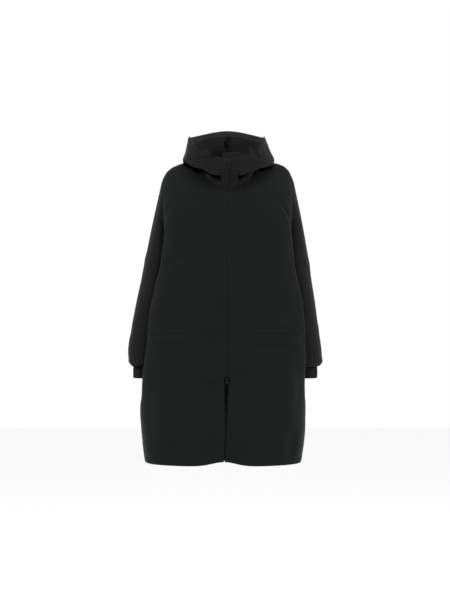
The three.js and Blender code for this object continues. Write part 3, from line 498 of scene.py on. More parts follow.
def seam_relief(gaps, hem=False, front_edge=False, top_depth=1.3, bottom_depth=0.5):
    top, bottom, first, last = gaps
    relief = ditch(top, top_depth, 3) + ditch(last, *SIDE_DITCH)
    relief += 0.4 * puckers(top, last, 16, 1.0) + 0.3 * top_depth * puckers(first, top, 14, 2.0)
    relief += ditch(first, *(EDGE_DITCH if front_edge else SIDE_DITCH))
    if front_edge:
        relief += ditch(first - EDGE_STITCH, 0.3, 1.6)
    if hem:
        relief += ditch(bottom, *HEM_DITCH) + ditch(bottom - HEM_STITCH, *STITCH_DITCH)
        return relief + 0.5 * puckers(first, np.abs(bottom - HEM_STITCH), 12, 3.0)
    relief += ditch(bottom, bottom_depth, 2.4)
    return relief + 0.6 * bottom_depth * puckers(first, bottom, 15, 4.0)


def faded(relief, gaps, reaches):
    """Relief that dies out before the edges, so that folds don't cross a seam."""
    for gap, reach in zip(gaps, reaches):
        if reach:
            relief = relief * smooth_step(0, reach, gap)
    return relief


def waves(surface, table, height, scale, seed):
    x, z = surface[..., 0], surface[..., 2]
    return folds(x, z, table) + height * swell(x, z, scale, seed)


def near_hem(gaps):
    return lerp(0.6, 1, smooth_step(0, 40, gaps[1]))


def front_upper(side, table, seed):
    shares = column_shares(FRONT_COLUMNS)[None, :]
    rows = upper_rows[:, None]
    turn = lerp(middle_edge(rows), side_edge(rows, False), shares)
    z = upper_height(rows, turn)
    surface, normals = body_point(turn, z, side), body_normal(turn, z, side)
    top, bottom, first, last = edge_gaps(surface)
    beside_neck = rows > NECK_FRONT
    neck = np.where(beside_neck, first, np.hypot(first, NECK_FRONT - surface[..., 2]))
    # No ditch at the top, because the shoulder seam lies over the shoulder
    gaps = (np.where(beside_neck, top + 40, 60), bottom, first, last)
    relief = faded(waves(surface, table, 1.3, 70, seed), gaps, (14, 14, 14, 14))
    relief += seam_relief(gaps, front_edge=True, bottom_depth=hip_depth(surface[..., 0], side))
    return surface, normals, relief + ditch(neck, 0.8, 3)


def front_lower(side, table, seed):
    shares = column_shares(FRONT_COLUMNS)[None, :]
    rows = np.linspace(0, 1, SKIRT_ROWS)[:, None]
    turn = lerp(0, side_edge(np.array([[HIP]]), False), shares) + 0 * rows
    z = lerp(hip_line(turn) - SEAM, hem_line(turn), rows)
    surface, normals = body_point(turn, z, side), body_normal(turn, z, side)
    gaps = edge_gaps(surface)
    relief = faded(waves(surface, table, 1.5, 80, seed), gaps, (14, 0, 10, 14)) * near_hem(gaps)
    depth = hip_depth(surface[..., 0], side)
    relief += seam_relief(gaps, hem=True, front_edge=True, top_depth=depth)
    return surface, normals, relief


def back_panel():
    low = np.linspace(0, 1, SKIRT_ROWS)[1:, None]
    half = column_shares(BACK_COLUMNS)
    shares = np.concatenate([-half[::-1], half[1:]])[None, :]
    rows = upper_rows[:, None]
    turn_up = 2 - (2 - side_edge(rows, True)) * np.abs(shares)
    turn_low = 2 - (2 - side_edge(np.array([[HIP]]), True)) * np.abs(shares) + 0 * low
    z_low = lerp(hip_line(turn_low), hem_line(turn_low), low)
    turn = np.concatenate([turn_up, turn_low])
    z = np.concatenate([upper_height(rows, turn_up), z_low])
    left = (shares > 0)[..., None]
    surface = np.where(left, body_point(turn, z, 1), body_point(turn, z, -1))
    normals = np.where(left, body_normal(turn, z, 1), body_normal(turn, z, -1))
    gaps = edge_gaps(surface)
    relief = faded(waves(surface, BACK_FOLDS, 1.6, 85, 5.0), gaps, (14, 0, 14, 14))
    return surface, normals, relief * near_hem(gaps) + seam_relief(gaps, hem=True)


# Sleeves and cuffs. Angle 0 is the outer side and a quarter turn the front.
CAP_SIZE = 1 - 1.6 * SEAM / ARMHOLE_HALF_DEPTH
FOLD_TURN = math.radians(62)


def sleeve_ring(angle, z, side):
    middle, half = (sleeve_outer(z) + sleeve_inner(z)) / 2, (sleeve_outer(z) - sleeve_inner(z)) / 2
    x = side * (middle + half * np.cos(angle)) + sleeve_lean(z)
    return point(x, -sleeve_half_depth(z) * np.sin(angle), z)


def beside_body(p, side):
    y, z = p[..., 1], p[..., 2]
    size = np.hypot(y / ARMHOLE_HALF_DEPTH, (z - ARMHOLE_MIDDLE) / ARMHOLE_HALF_HEIGHT)
    share = np.clip((size - CAP_SIZE) / 0.05, 0, 1)
    face = side * body_point(body_turn_at_y(y, z), z, side)[..., 0] + 3.5 * share
    out = side * p[..., 0]
    pushed = (out + face + np.hypot(out - face, 3 * share)) / 2
    return point(np.where(share < 1e-6, p[..., 0], side * pushed), y, z)


def sleeve_point(angle, along, side):
    angle, along = np.broadcast_arrays(angle, along)
    z = lerp(CAP_END, SLEEVE_END, np.maximum(along - 1, 0))
    straight = sleeve_ring(angle, z, side)
    start = armhole_point(angle, CAP_SIZE, side)
    into = unit(armhole_point(angle, CAP_SIZE - 0.02, side) - start)
    low = ((1 - np.cos(angle)) / 2)[..., None]
    turn, height = armhole_place(angle, 1)
    fold = FOLD_TURN * low
    into = into * np.cos(fold) + body_normal(turn, height, side) * np.sin(fold)
    end = sleeve_ring(angle, np.full(angle.shape, float(CAP_END)), side)
    down = unit(sleeve_ring(angle, np.full(angle.shape, CAP_END - 5.0), side) - end)
    t = np.clip(along, 0, 1)[..., None]
    cap = hermite(start, into * lerp(70, 40, low), end, down * lerp(110, 45, low), t)
    return beside_body(np.where(along[..., None] >= 1, straight, cap), side)


GATHERS, SLEEVE_COLUMNS = 20, 168
# Middle height, spread, place round the sleeve, its spread, height of the fold, slant
SLEEVE_FOLDS = [
    (-372, 11, 2.2, 1.0, -3.0, 26), (-398, 12, 2.6, 0.9, 2.8, 18), (-428, 12, 2.4, 1.1, -3.4, -16),
    (-455, 13, 1.9, 0.8, 2.6, -22), (-352, 14, 4.2, 0.9, 2.2, -20), (-405, 12, 4.5, 1.0, -3.0, 14),
    (-437, 12, 4.1, 0.9, 2.6, 22), (-476, 14, 4.6, 0.8, -2.4, 12), (-505, 17, 1.2, 0.8, -2.2, 30),
    (-545, 18, 0.4, 0.7, 1.8, -24), (-340, 18, 0.9, 0.8, -1.8, 34), (-310, 16, 5.6, 0.7, 1.6, -26),
    (-575, 16, 5.2, 0.8, -2.4, 20), (-590, 15, 2.3, 0.9, -2.6, -18),
]


def turn_between(angle, other):
    """The turn from one angle to another, between minus and plus half a turn."""
    return np.angle(np.exp(1j * (angle - other)))


def sleeve_folds(angle, along, z, side):
    """Folds at the elbow, drag lines under the cap and gathers above the cuff."""
    phase = 0.6 if side > 0 else 1.9
    relief = np.zeros(np.shape(angle))
    for mid, spread, around, width, height, slant in SLEEVE_FOLDS:
        turn = turn_between(angle - around, 0.25 * phase)
        line = mid + slant * np.sin(turn) + 8 * phase
        relief += height * bell(turn, width) * bell(z - line, spread)
    relief += 1.6 * np.sin(angle * 3 + 1.1 * phase) * bell(along - 0.55, 0.28)
    above = np.maximum(z - SLEEVE_END, 0)
    pleats = np.sin(GATHERS * angle + 1.1 * np.sin(3 * angle + phase) + phase)
    pleats *= 0.75 + 0.25 * np.sin(7 * angle + 2 * phase)
    reach = 24 + 9 * np.sin(5 * angle + phase * 2) + 5 * np.sin(11 * angle)
    relief += 2.3 * pleats * np.exp(-((above / reach) ** 1.6)) * smooth_step(0, 7, above)
    bulge = 2.2 * bell(above - 16, 9)
    return relief + bulge * (0.6 + 0.4 * np.sin(4 * angle + phase))


def sleeve_tube(side):
    """The sleeve's wall and its painted shade: dark at its end, and on the right one's inner side
    near its end.
    """
    angle = np.linspace(0, 2 * math.pi, SLEEVE_COLUMNS, endpoint=False)[None, :]
    along = np.concatenate([
        np.linspace(0, 0.1, 7), np.linspace(0.1, 1, 34)[1:], np.linspace(1, 1.86, 66)[1:],
        np.linspace(1.86, 2, 26)[1:],
    ])[:, None]
    surface = sleeve_point(angle, along, side)
    inside = np.clip(along, 0.002, 1.998)
    normals = normal_of(lambda u, v: sleeve_point(u, v, side), angle, inside, side)
    normals[0] = body_normal(*armhole_place(angle[0], 1), side)
    down = arc_lengths(surface, 0)
    to_end = down[-1:] - down
    relief = sleeve_folds(angle + 0 * along, along + 0 * angle, surface[..., 2], side)
    near_body = smooth_step(0.5, 0.95, -np.cos(angle)) * smooth_step(0.3, 0.9, along)
    relief = relief * (1 - np.where(relief > 0, 0.85, 0.3) * near_body)
    relief = relief * smooth_step(0, 24, down) * smooth_step(0, 5, to_end)
    relief += ditch(down, 1.2, 3.0) + 0.6 * puckers(arc_lengths(surface, 1), down, 18, 2.5)
    relief += ditch(to_end, 0.8, 2.0)
    inner_seam = np.abs(turn_between(angle, math.pi)) * 50
    relief += ditch(inner_seam, 0.8, 2.2) * smooth_step(0.1, 0.4, along)
    # Painted shade at the sleeve's end, and on the right sleeve's inner side
    dark = 0.75 * smooth_step(4.5, 1, to_end)
    if side < 0:
        inner_side = smooth_step(0.85, 0.2, np.cos(angle))
        dark = np.maximum(dark, 0.7 * smooth_step(26, 4, to_end) * inner_side)
    return (surface, normals, relief), np.stack([dark, dark])


RIBS = 84


def cuff_band(side):
    angle = np.linspace(0, 2 * math.pi, RIBS * 6, endpoint=False)[None, :]
    share = [0, 0.03, 0.08, 0.16, 0.28, 0.42, 0.56, 0.7, 0.82, 0.9, 0.95, 0.98, 1.0]
    share = np.array(share)[:, None]
    z = lerp(SLEEVE_END - SEAM, CUFF_END, share) + 0 * angle
    middle, half = (CUFF["outer"] + CUFF["inner"]) / 2, (CUFF["outer"] - CUFF["inner"]) / 2
    bulge = np.sin(math.pi * share)
    ends = smooth_step(0, 0.1, share) * smooth_step(0, 0.06, 1 - share)
    relief = 0.35 * np.cos(RIBS * angle) * ends
    relief = relief - 0.5 + 0.5 * bulge - 1.2 * smooth_step(0.93, 1, share)
    relief += 0.5 * np.sin(3 * angle + side) * bulge

    def ring(inset):
        x = side * (middle + (half - inset) * np.cos(angle)) + CUFF["lean"]
        return point(x, -(CUFF["half_depth"] - inset) * np.sin(angle), z)

    # Painted shade at the cuff's top, where it meets the sleeve
    dark = 0.8 * smooth_step(0.22 if side < 0 else 0.12, 0.02, share) + 0 * angle
    return ring(-relief), ring(CLOTH + 0 * relief), np.stack([dark, dark])


# Hood: place runs along the neck seam, from 0 in front to 2 behind
def neck_place(place):
    z = np.where(place >= 1, NECK_TOP, lerp(NECK_FRONT, NECK_TOP, np.clip(place, 0, 1)))
    turn = np.where(place >= 1, np.minimum(place, 2), middle_edge(np.maximum(z, NECK_FRONT + 1e-3)))
    return turn, z


def neck_into(place, side):
    turn, z = neck_place(place)
    low = np.clip(place - 0.01, 0, 1.98)
    along = body_point(*neck_place(low + 0.02), side) - body_point(*neck_place(low), side)
    return unit(np.cross(along, body_normal(turn, z, side))) * -side


def roll_start(side):
    """The turns between which the roll begins to hang."""
    return ROLL[side][0][0], ROLL[side][1][0]


def roll_near(turn, side):
    """1 where the stand is tucked in below the roll."""
    return smooth_step(*roll_start(side), turn) * (1 - smooth_step(0.35, 0.6, turn))


def hood_ring(row, turn, side):
    half, front, back, front_z, side_z, back_z, roundness, lean, drop, out, up = row
    across, ahead = unit_section(turn, roundness)
    near = roll_near(turn, side)
    y = np.where(ahead > 0, -(front + out * near) * ahead, -back * ahead)
    share = np.cos(turn * math.pi / 2) ** 2
    in_front = lerp(side_z, front_z, share ** FRONT_FLAT)
    z = np.where(turn < 1, in_front, lerp(side_z, back_z, share ** BACK_PEAK))
    z = z + up * near - drop * roll_fall[side](turn)
    middle = lerp(lean, np.where(turn < 1, body_closure(0), 0), np.abs(ahead) ** 3)
    return point(side * half * across + middle, y, z)


def hood_turn(place):
    """How far round the hood a place on the neckline leads, from 0 in front to 2 behind."""
    neck_turn, neck_z = neck_place(place)
    neck_y = body_point(neck_turn, neck_z, 1)[..., 1]
    across = unit_section(neck_turn, ROUNDNESS)[0] * body_half(neck_z) / NECK_DEPTH["half"]
    ahead = np.abs(neck_y) / np.where(neck_y < 0, NECK_DEPTH["front"], NECK_DEPTH["back"])
    return np.where(place < 1, turn_at(across, ahead), 2 - turn_at(across, ahead))


def hood_point(place, along, side):
    place, along = np.broadcast_arrays(np.asarray(place, float), np.asarray(along, float))
    neck = body_point(*neck_place(place), side)
    turn = hood_turn(place)
    into = neck_into(place, side)
    points = np.stack([neck + into * SEAM] + [hood_ring(row, turn, side) for row in HOOD])
    middle = (points[2:] - points[:-2]) / 2
    slopes = np.concatenate([[into * 16], middle, [points[-1] - points[-2]]])
    t = np.clip(along, 0, len(HOOD) - 1e-9)
    row = np.floor(t).astype(int)

    def pick(stack, k):
        k = np.broadcast_to(k[None, ..., None], (1,) + stack.shape[1:])
        return np.take_along_axis(stack, k, axis=0)[0]

    return hermite(pick(points, row), pick(slopes, row), pick(points, row + 1),
                   pick(slopes, row + 1), (t - row)[..., None])


coarse_rows = SHOULDER_ROWS + [SHOULDER_TIP, -57.2, -72.3, NECK_FRONT, -64, -84]
first_places = (np.sort(coarse_rows) - NECK_FRONT) / (NECK_TOP - NECK_FRONT)
hood_places = np.concatenate([
    finer(first_places[:3], 16), finer(first_places[2:], 4)[1:], np.linspace(1, 2, 49)[1:],
])
station_parts = 7
last_station = len(HOOD_STATIONS) - 1
hood_alongs = np.interp(
    np.arange(last_station * station_parts + 1) / station_parts, np.arange(last_station + 1),
    HOOD_STATIONS,
)

# place, station, spread in each, height of the fold
HOOD_FOLDS = [
    (0.20, 5.0, 0.10, 2.2, -4.0), (0.34, 3.2, 0.12, 2.0, 3.4), (0.52, 5.6, 0.10, 2.6, -4.6),
    (0.66, 3.0, 0.10, 2.4, 3.2), (0.82, 5.4, 0.09, 2.4, -3.6), (1.04, 4.2, 0.08, 2.6, 3.0),
    (1.22, 6.0, 0.10, 3.0, -4.0), (1.46, 4.6, 0.12, 2.6, 3.6), (1.70, 7.0, 0.13, 3.0, -3.6),
    (0.42, 8.6, 0.16, 1.6, 2.6), (0.90, 9.4, 0.14, 1.8, -2.8), (1.36, 11.2, 0.14, 2.4, 3.4),
    (1.62, 13.0, 0.12, 2.2, -3.6), (1.12, 12.4, 0.10, 2.0, -3.0), (0.74, 13.0, 0.10, 1.8, 2.4),
    (0.28, 12.0, 0.12, 1.6, -1.8), (1.86, 10.6, 0.10, 2.6, 2.8),
]
# Creases in the hood's front: path in x and z, width, height, lip
HOOD_RIGHT_CREASES = [
    ([(-20, 13), (-52, 13), (-90, 16)], 2.6, -2.8, 0.5),
    ([(-26, 22), (-60, 23), (-96, 27)], 5, 2.0, 0.0),
    ([(-62, -56), (-48, -65), (-34, -78)], 4, -2.4, 0.5),
    ([(-44, -54), (-32, -62), (-20, -72)], 4, 1.8, 0.3),
    ([(-58, -66), (-46, -74), (-38, -82)], 3, 1.6, 0.0),
]
HOOD_LEFT_CREASES = [
    ([(94, 5), (108, 2), (122, 2)], 2.6, 2.0, 0.3),
    ([(34, -80), (44, -72), (60, -58)], 4, -2.6, 0.5),
    ([(34, -66), (46, -64), (58, -52)], 4, 2.0, 0.2),
    ([(84, 30), (96, 20), (104, 4)], 5, -2.0, 0.4),
]
# Folds that stand up in the rim: turn and height
RIM_TUCKS = {-1: (0.37, 15), 1: (0.40, 15)}
RIM_STITCH = 20
# Painted shade: where the neck seam lies in a hollow in front, how far the low back inside is
# painted dark, and how wide the back seam's painted shade is
NECK_SHADE = {-1: (46, 74), 1: (16, 62)}
LOW_BACK_SHADE = {-1: 50, 1: 26}
BACK_SEAM_SHADE = {-1: 6, 1: 11}


def hood_relief(side, surface, gaps, place, station):
    top, rim, front, middle_back = gaps
    x, y, z = (surface[..., k] for k in range(3))
    creases = HOOD_LEFT_CREASES if side > 0 else HOOD_RIGHT_CREASES
    relief = folds(x, z, creases) * smooth_step(-10, -50, y)
    for at, where, width, spread, height in HOOD_FOLDS:
        beside = place - at - 0.05 * side - 0.02 * (station - where) * side
        fold = bell(beside, width) * bell(station - where, spread)
        relief += height * fold
    relief += 1.2 * swell(x, y + z, 46, 3.0 + side)
    relief = faded(relief, gaps, (18, 16, 22, 12))
    for gap, depth, width in (
        (top, 1.0, 3), (middle_back, 1.4, 3), (front, 0.8, 2.2), (rim, 0.7, 2),
        (rim - RIM_STITCH, 0.9, 2.2), (front - EDGE_STITCH, 0.5, 1.6),
    ):
        relief += ditch(gap, depth, width)
    at_stitch = puckers(front, np.abs(rim - RIM_STITCH), 14, side)
    relief += 0.7 * at_stitch * smooth_step(0, 8, middle_back)
    return relief + 0.6 * puckers(top, middle_back, 16, 1.5) + 0.7 * puckers(front, top, 14, 4.5)


def hood_painted_shade(side, x, gaps, along, turn):
    """Painted shade where light hardly reaches: outside below the roll and at the neck seam, and
    inside in the back seam's hollow and low behind the neck."""
    start, hang = roll_start(side)
    began = smooth_step(start + 0.01, hang, turn) * (1 - smooth_step(0.85, 1.0, turn))
    under = smooth_step(1.9, 2.4, along) * (1 - smooth_step(3.6, 3.85, along)) * began
    low, high = NECK_SHADE[side]
    patch = smooth_step(low - 8, low + 6, x * side) * smooth_step(high + 8, high - 6, x * side)
    outside = np.maximum(under, 0.3 * patch * smooth_step(15, 6, gaps[0]))
    seam = 0.6 * bell(gaps[3], BACK_SEAM_SHADE[side])
    seam = seam * smooth_step(7.2, 7.45, along) * smooth_step(7.92, 7.76, along)
    low_back = 0.4 * smooth_step(6, 6.5, along) * smooth_step(7.37, 7.3, along)
    low_back = low_back * smooth_step(LOW_BACK_SHADE[side] + 16, LOW_BACK_SHADE[side] - 16, gaps[3])
    return np.stack([outside, np.maximum(seam, low_back)])


def hood_half(side):
    place, along = hood_places[None, :], hood_alongs[:, None]
    surface = hood_point(place, along, side)
    inside = np.clip(place, 0.004, 1.996), np.clip(along, 0.01, 7.98)
    normals = normal_of(lambda u, v: hood_point(u, v, side), *inside, side)
    normals[0] = body_normal(*neck_place(hood_places), side)
    for column in (0, -1):
        normals[:, column, 0] = 0
        normals[:, column] = unit(normals[:, column])
    edge = body_closure(surface[:, :1, 2]) + side * CLOSURE_GAP / 2
    surface[..., 0] += (edge - surface[:, :1, 0]) * np.clip(1 - place / first_places[1], 0, 1)
    surface[:, -1, 0] = side * SEAM / 2
    gaps = edge_gaps(surface)
    turn = hood_turn(place)
    at, rise = RIM_TUCKS[side]
    beside = (turn - at) * side
    tuck = bell(beside, 0.035) - 0.7 * bell(beside - 0.09, 0.05)
    tuck = tuck * rise * smooth_step(6.3, 8, along) * smooth_step(0.1, 0.25, turn)
    surface += tuck[..., None] * np.array([-0.5 * side, 0.45, 1])
    station = (np.arange(len(hood_alongs)) / station_parts)[:, None]
    relief = hood_relief(side, surface, gaps, place, station)
    return (surface, normals, relief), hood_painted_shade(side, surface[..., 0], gaps, along, turn)


# Make the main pieces
SIDES = {"left": 1, "right": -1}
pieces = {}
walls = {}


def keep_piece(name, outer, inner, ring=False, painted_shade=None, kind="cloth"):
    walls[name] = (outer, inner)
    pieces[name] = shell(f"{name}_{kind}", outer, inner, ring, painted_shade)


keep_piece("back", *cloth_wall(*back_panel()))
keep_piece("front_lower_left", *cloth_wall(*front_lower(1, SKIRT_LEFT_FOLDS, 3.0)))
keep_piece("front_lower_right", *cloth_wall(*front_lower(-1, SKIRT_RIGHT_FOLDS, 4.0)))
for word, side in SIDES.items():
    made, painted_shade = sleeve_tube(side)
    keep_piece(f"sleeve_{word}", *cloth_wall(*made), ring=True, painted_shade=painted_shade)
    made, painted_shade = hood_half(side)
    keep_piece(f"hood_{word}", *cloth_wall(*made), painted_shade=painted_shade)
    outer, inner, painted_shade = cuff_band(side)
    keep_piece(f"cuff_{word}", outer, inner, ring=True, painted_shade=painted_shade, kind="rib")

# Painted shade below the roll: its strength, the distances to the roll at which a front is
# painted fully dark and at which it isn't, and the same from the middle to the sides
ROLL_SHADE = {"share": 0.97, "near": 17.5, "far": 21.5, "inner": 137, "outer": 147}


def painted_shade_below_roll(surface, word):
    """Painted shade on a front: how dark each point is painted in the gap below the hood's roll."""
    rows = (hood_alongs > 2.2) & (hood_alongs < 4.6)
    roll = walls[f"hood_{word}"][0][rows][:, hood_places < 1.25].reshape(-1, 3)
    high = surface[..., 2] > -120
    points = surface[high]
    gap = np.full(len(points), 1e9)
    for part in np.array_split(roll, 80):
        gap = np.minimum(gap, np.linalg.norm(points[:, None] - part[None], axis=-1).min(1))
    near = smooth_step(ROLL_SHADE["far"], ROLL_SHADE["near"], gap)
    beside = smooth_step(ROLL_SHADE["outer"], ROLL_SHADE["inner"], np.abs(points[:, 0]))
    dark = np.zeros(surface.shape[:2])
    dark[high] = ROLL_SHADE["share"] * near * beside
    return np.stack([dark, dark])


for word, table, seed in (("left", FRONT_LEFT_FOLDS, 1.0), ("right", FRONT_RIGHT_FOLDS, 2.0)):
    made = front_upper(SIDES[word], table, seed)
    keep_piece(f"front_upper_{word}", *cloth_wall(*made), painted_shade=painted_shade_below_roll(made[0], word))


def on_hood(x, station, depth, back=False):
    """A point in front of the hood's front (or back) wall, at x and a station between its rows."""
    row = min(int(station * station_parts), len(hood_alongs) - 2)
    left = walls["hood_left"][0][row, 0, 0] - CLOSURE_GAP / 2
    side = "right" if x < (0 if back else left) else "left"
    outer, inner = walls[f"hood_{side}"]
    sign = SIDES[side]

    def on_row(r):
        line = outer[r, :, 0] * sign
        order = range(len(line) - 2, 0, -1) if back else range(len(line) - 1)
        for c in order:
            far = line[c] if back else line[c + 1]
            if far >= sign * x:
                break
        t = (x - outer[r, c, 0]) / (outer[r, c + 1, 0] - outer[r, c, 0])
        return lerp(outer[r, c], outer[r, c + 1], t), lerp(inner[r, c], inner[r, c + 1], t)

    share = station * station_parts - row
    (o0, i0), (o1, i1) = on_row(row), on_row(row + 1)
    out, into = lerp(o0, o1, share), lerp(i0, i1, share)
    return out + unit(out - into) * depth


# Depths below the cloth's outer face are negative. TAPE is the room that the zip's tape takes.
TAPE_FACE, TAPE, ZIP_END = -(WALL + LAID), 1.2, -697
RIM_STATION = last_station


def vent_place(turn, z, side, x, depth):
    p = body_point(np.array(float(turn)), np.array(float(z)), side)
    n = body_normal(np.array(0.0), np.array(float(z)), side) * np.array([0, 1, 1])
    p[0] = x
    return p + unit(n) * depth


def tape_rows():
    rows = []
    for station in np.arange(16.6, 0.2, -0.4):
        middle = walls["hood_left"][0][int(station * station_parts), 0, 0] - CLOSURE_GAP / 2
        rows.append(("hood", station, middle))
    for z in [*np.arange(NECK_FRONT - 4, ZIP_END, -8), ZIP_END]:
        rows.append(("body", z, float(body_closure(z))))
    return rows


def turn_beside(x, z):
    return x / float(body_half(z)) / (math.pi / 2)


def tape_point(row, across, depth):
    kind, at, middle = row
    if kind == "hood":
        return on_hood(middle + across, at, depth)
    side = 1 if across >= 0 else -1
    return vent_place(turn_beside(abs(across), at), at, side, middle + across, depth)


def strip(name, make, rows, columns, depth, wall):
    keep_piece(name, *(
        np.array([[make(r, c, face) for c in columns] for r in rows])
        for face in (depth, depth - wall)))


zip_rows = tape_rows()
tape_columns = np.linspace(-TAPE_HALF_WIDTH, TAPE_HALF_WIDTH, 9)
strip("zip_tape", tape_point, zip_rows, tape_columns, TAPE_FACE, 1.0)

VENT_TAPE_WIDTH = 12
# The right tape laps behind the left one between these heights, and below them
LAP = {"from": -880, "to": -905, "over": {1: 0.1, -1: 1.4}, "behind": {1: 0, -1: 1.3}}


def vent_tape_point(side):
    def at(z, share, depth):
        gap = float(vent_edge[1](z) - vent_edge[-1](z))
        low = float(smooth_step(LAP["from"], LAP["to"], z))
        show = lerp(min(max(gap / 2 - 0.6, 0.4), 2.5), gap / 2 + LAP["over"][side], low)
        beyond = show - VENT_TAPE_WIDTH * share
        x = float(vent_edge[side](z)) - side * beyond
        depth -= LAP["behind"][side] * low
        return vent_place(turn_beside(max(-beyond, 0), z), z, side, x, depth)
    return at


vent_rows = np.linspace(ZIP_END - 1, HEM + 18, 44)
vent_columns = np.linspace(0, 1, 5)
for word, side in SIDES.items():
    strip(f"vent_tape_{word}", vent_tape_point(side), vent_rows, vent_columns, TAPE_FACE, 1.0)

GUARD = {"from": -16, "to": 52, "rise": 24, "bottom": 11, "wall": 1.8, "bow": 1.2}


def guard_point(row, share, depth):
    """Behind the hood's front up to its rim, and above the rim by the part of row past it."""
    x = lerp(GUARD["from"], GUARD["to"], share)
    on_rim = RIM_STATION - 0.01
    if row <= RIM_STATION:
        return on_hood(x, min(row, on_rim), depth)
    p = on_hood(x, on_rim, depth)
    rise = (row - RIM_STATION) * GUARD["rise"]
    rounded = 1 - 0.2 * abs(2 * share - 1) ** 4
    level = on_hood((GUARD["from"] + GUARD["to"]) / 2, on_rim, depth)[2]
    p[2] += max(level + rise * rounded - on_hood(x, on_rim, 0)[2], rise * 0.3)
    p[1] += GUARD["bow"] * math.sin(math.pi * share) * (row - RIM_STATION)
    return p


guard_rows = np.concatenate([
    np.linspace(RIM_STATION + 1, RIM_STATION, 7)[:-1],
    np.arange(RIM_STATION, GUARD["bottom"] - 0.1, -0.3),
])
strip("chin_guard", guard_point, guard_rows, np.linspace(0, 1, 21), TAPE_FACE - TAPE - LAID - 0.2,
      GUARD["wall"])

FLAP = {"from": 11.5, "to": 31, "top": 16.6, "bottom": 3.4, "wall": 2, "stitch": 3.2}


def flap_point(station, share, depth):
    x = lerp(FLAP["from"], FLAP["to"], share)
    if depth < LAID + 0.5:
        return on_hood(x, station, depth)
    from_edge = min(share, 1 - share) * (FLAP["to"] - FLAP["from"])
    rounding = 0.7 * (abs(2 * share - 1) ** 6)
    groove = 0.5 * math.exp(-(((from_edge - FLAP["stitch"]) / 0.8) ** 2))
    return on_hood(x, station, depth - rounding - groove)


flap_rows = np.linspace(FLAP["top"], FLAP["bottom"], 48)
strip("storm_flap", flap_point, flap_rows, np.linspace(0, 1, 21), LAID + FLAP["wall"], FLAP["wall"])

WELT_LAID, WELT_STITCH = 0.25, 5


def pocket_welt(name):
    """A welt that follows the relief of the front below it."""
    side, first, last, bottom = WELTS[name]
    start, end = (float(body_turn_at_x(np.array(float(x)), np.array(float(HIP))))
                  for x in (first, last))
    share = np.linspace(0, 1, 14)[:, None]
    turn = np.linspace(start, end, 40)[None, :] + 0 * share
    z = lerp(hip_line(turn) - SEAM, bottom, share)
    surface, normals = body_point(turn, z, side), body_normal(turn, z, side)
    flat = walls["front_lower_left" if side > 0 else "front_lower_right"][0].reshape(-1, 3)
    spot = surface.reshape(-1, 3)
    nearest = np.array([np.argmin(((flat - s) ** 2).sum(1)) for s in spot])
    lift = ((flat[nearest] - spot) * normals.reshape(-1, 3)).sum(1).reshape(z.shape)
    for _ in range(3):
        pad = np.pad(lift, 1, mode="edge")
        beside = pad[:-2, 1:-1] + pad[2:, 1:-1] + pad[1:-1, :-2] + pad[1:-1, 2:]
        lift = (pad[1:-1, 1:-1] + beside) / 5
    lift = np.maximum(lift, -0.6) + WELT_LAID
    top, low, near_start, near_end = gaps = edge_gaps(surface)
    near = np.minimum.reduce(gaps)
    short = smooth_step(0, 20, np.minimum(near_start, near_end)) * smooth_step(0, 16, top)
    relief = 0.12 + short * (1.2 - 0.5 * bell(low, 1.6))
    relief += ditch(near - WELT_STITCH, 0.1, 1.2)
    relief += 0.2 * puckers(near_start, np.abs(low - WELT_STITCH), 9, side * 2.0)
    keep_piece(name, surface + normals * (relief + lift)[..., None],
               surface + normals * lift[..., None])


for welt in WELTS:
    pocket_welt(welt)

LOOP = {"x": -10, "end_x": -1.6, "station": 16.25, "end_station": 15.8, "half": 2.2}


def loop_point(share, across, depth):
    x = lerp(LOOP["x"], LOOP["end_x"] - LOOP["half"], share) + across * LOOP["half"]
    return on_hood(x, lerp(LOOP["station"], LOOP["end_station"], share), depth, back=True)


loop_face = -(WALL + 2 * LAID)
strip("hanger_loop", loop_point, np.linspace(0, 1, 9), np.linspace(-1, 1, 5), loop_face, 1.0)


# Sliders, pulls and snap
SLIDER = {"width": 9, "depth": 3.4, "height": 10, "nose": 6}
BRIDGE = {"width": 2.2, "space": 2.4, "bar": 1.2, "height": 8.4, "turns": 14, "roundness": 0.62}
PULL = {"width": 6.6, "thick": 1.4, "bar": 1.3, "window": (3.6, 6.2), "rise": 1.6, "inset": 1.3}
SLIDERS = {
    "top": {"x": 6, "y": -128, "z": -5, "length": 15},
    "bottom": {"x": -1.8, "y": -151.9, "z": -688.5, "length": 18},
}
SNAP = {"x": 20.5, "station": 4.1, "around": 40}
# Radius and height from the snap's crown to its foot
SNAP_PROFILE = [
    (0, 1.9), (1.6, 1.9), (2.7, 1.75), (3.1, 1.45), (3.3, 1.3), (3.7, 1.5), (4.2, 1.35),
    (4.55, 0.9), (4.6, 0.35), (4.4, 0.1), (0, 0.1),
]


def bevelled(vertices, faces, width, segments=2):
    blank = bpy.data.meshes.new("blank")
    blank.from_pydata([(x * MM, y * MM, z * MM) for x, y, z in vertices], [], faces)
    work = bmesh.new()
    work.from_mesh(blank)
    bpy.data.meshes.remove(blank)
    bmesh.ops.recalc_face_normals(work, faces=work.faces)
    sharp = [e for e in work.edges if e.is_manifold and e.calc_face_angle(0) > 0.5]
    bmesh.ops.bevel(work, geom=sharp, offset=width * MM, segments=segments, affect="EDGES",
                    profile=0.6)
    return mesh_from("bevelled", work)


def join(name, parts):
    work = bmesh.new()
    for part in parts:
        work.from_mesh(part)
        bpy.data.meshes.remove(part)
    return smooth_object(name, mesh_from(name, work), crease=38)


def loop_prism(outline, y_back, y_front):
    """A plate from an outline in x and z."""
    count = len(outline)
    vertices = [(x, y_back, z) for x, z in outline] + [(x, y_front, z) for x, z in outline]
    faces = [list(range(count)), list(range(2 * count - 1, count - 1, -1))]
    faces += [[i, i + count, (i + 1) % count + count, (i + 1) % count] for i in range(count)]
    return vertices, faces


def box_outline(x, half, top, bottom):
    return [(x - half, top), (x - half, bottom), (x + half, bottom), (x + half, top)]


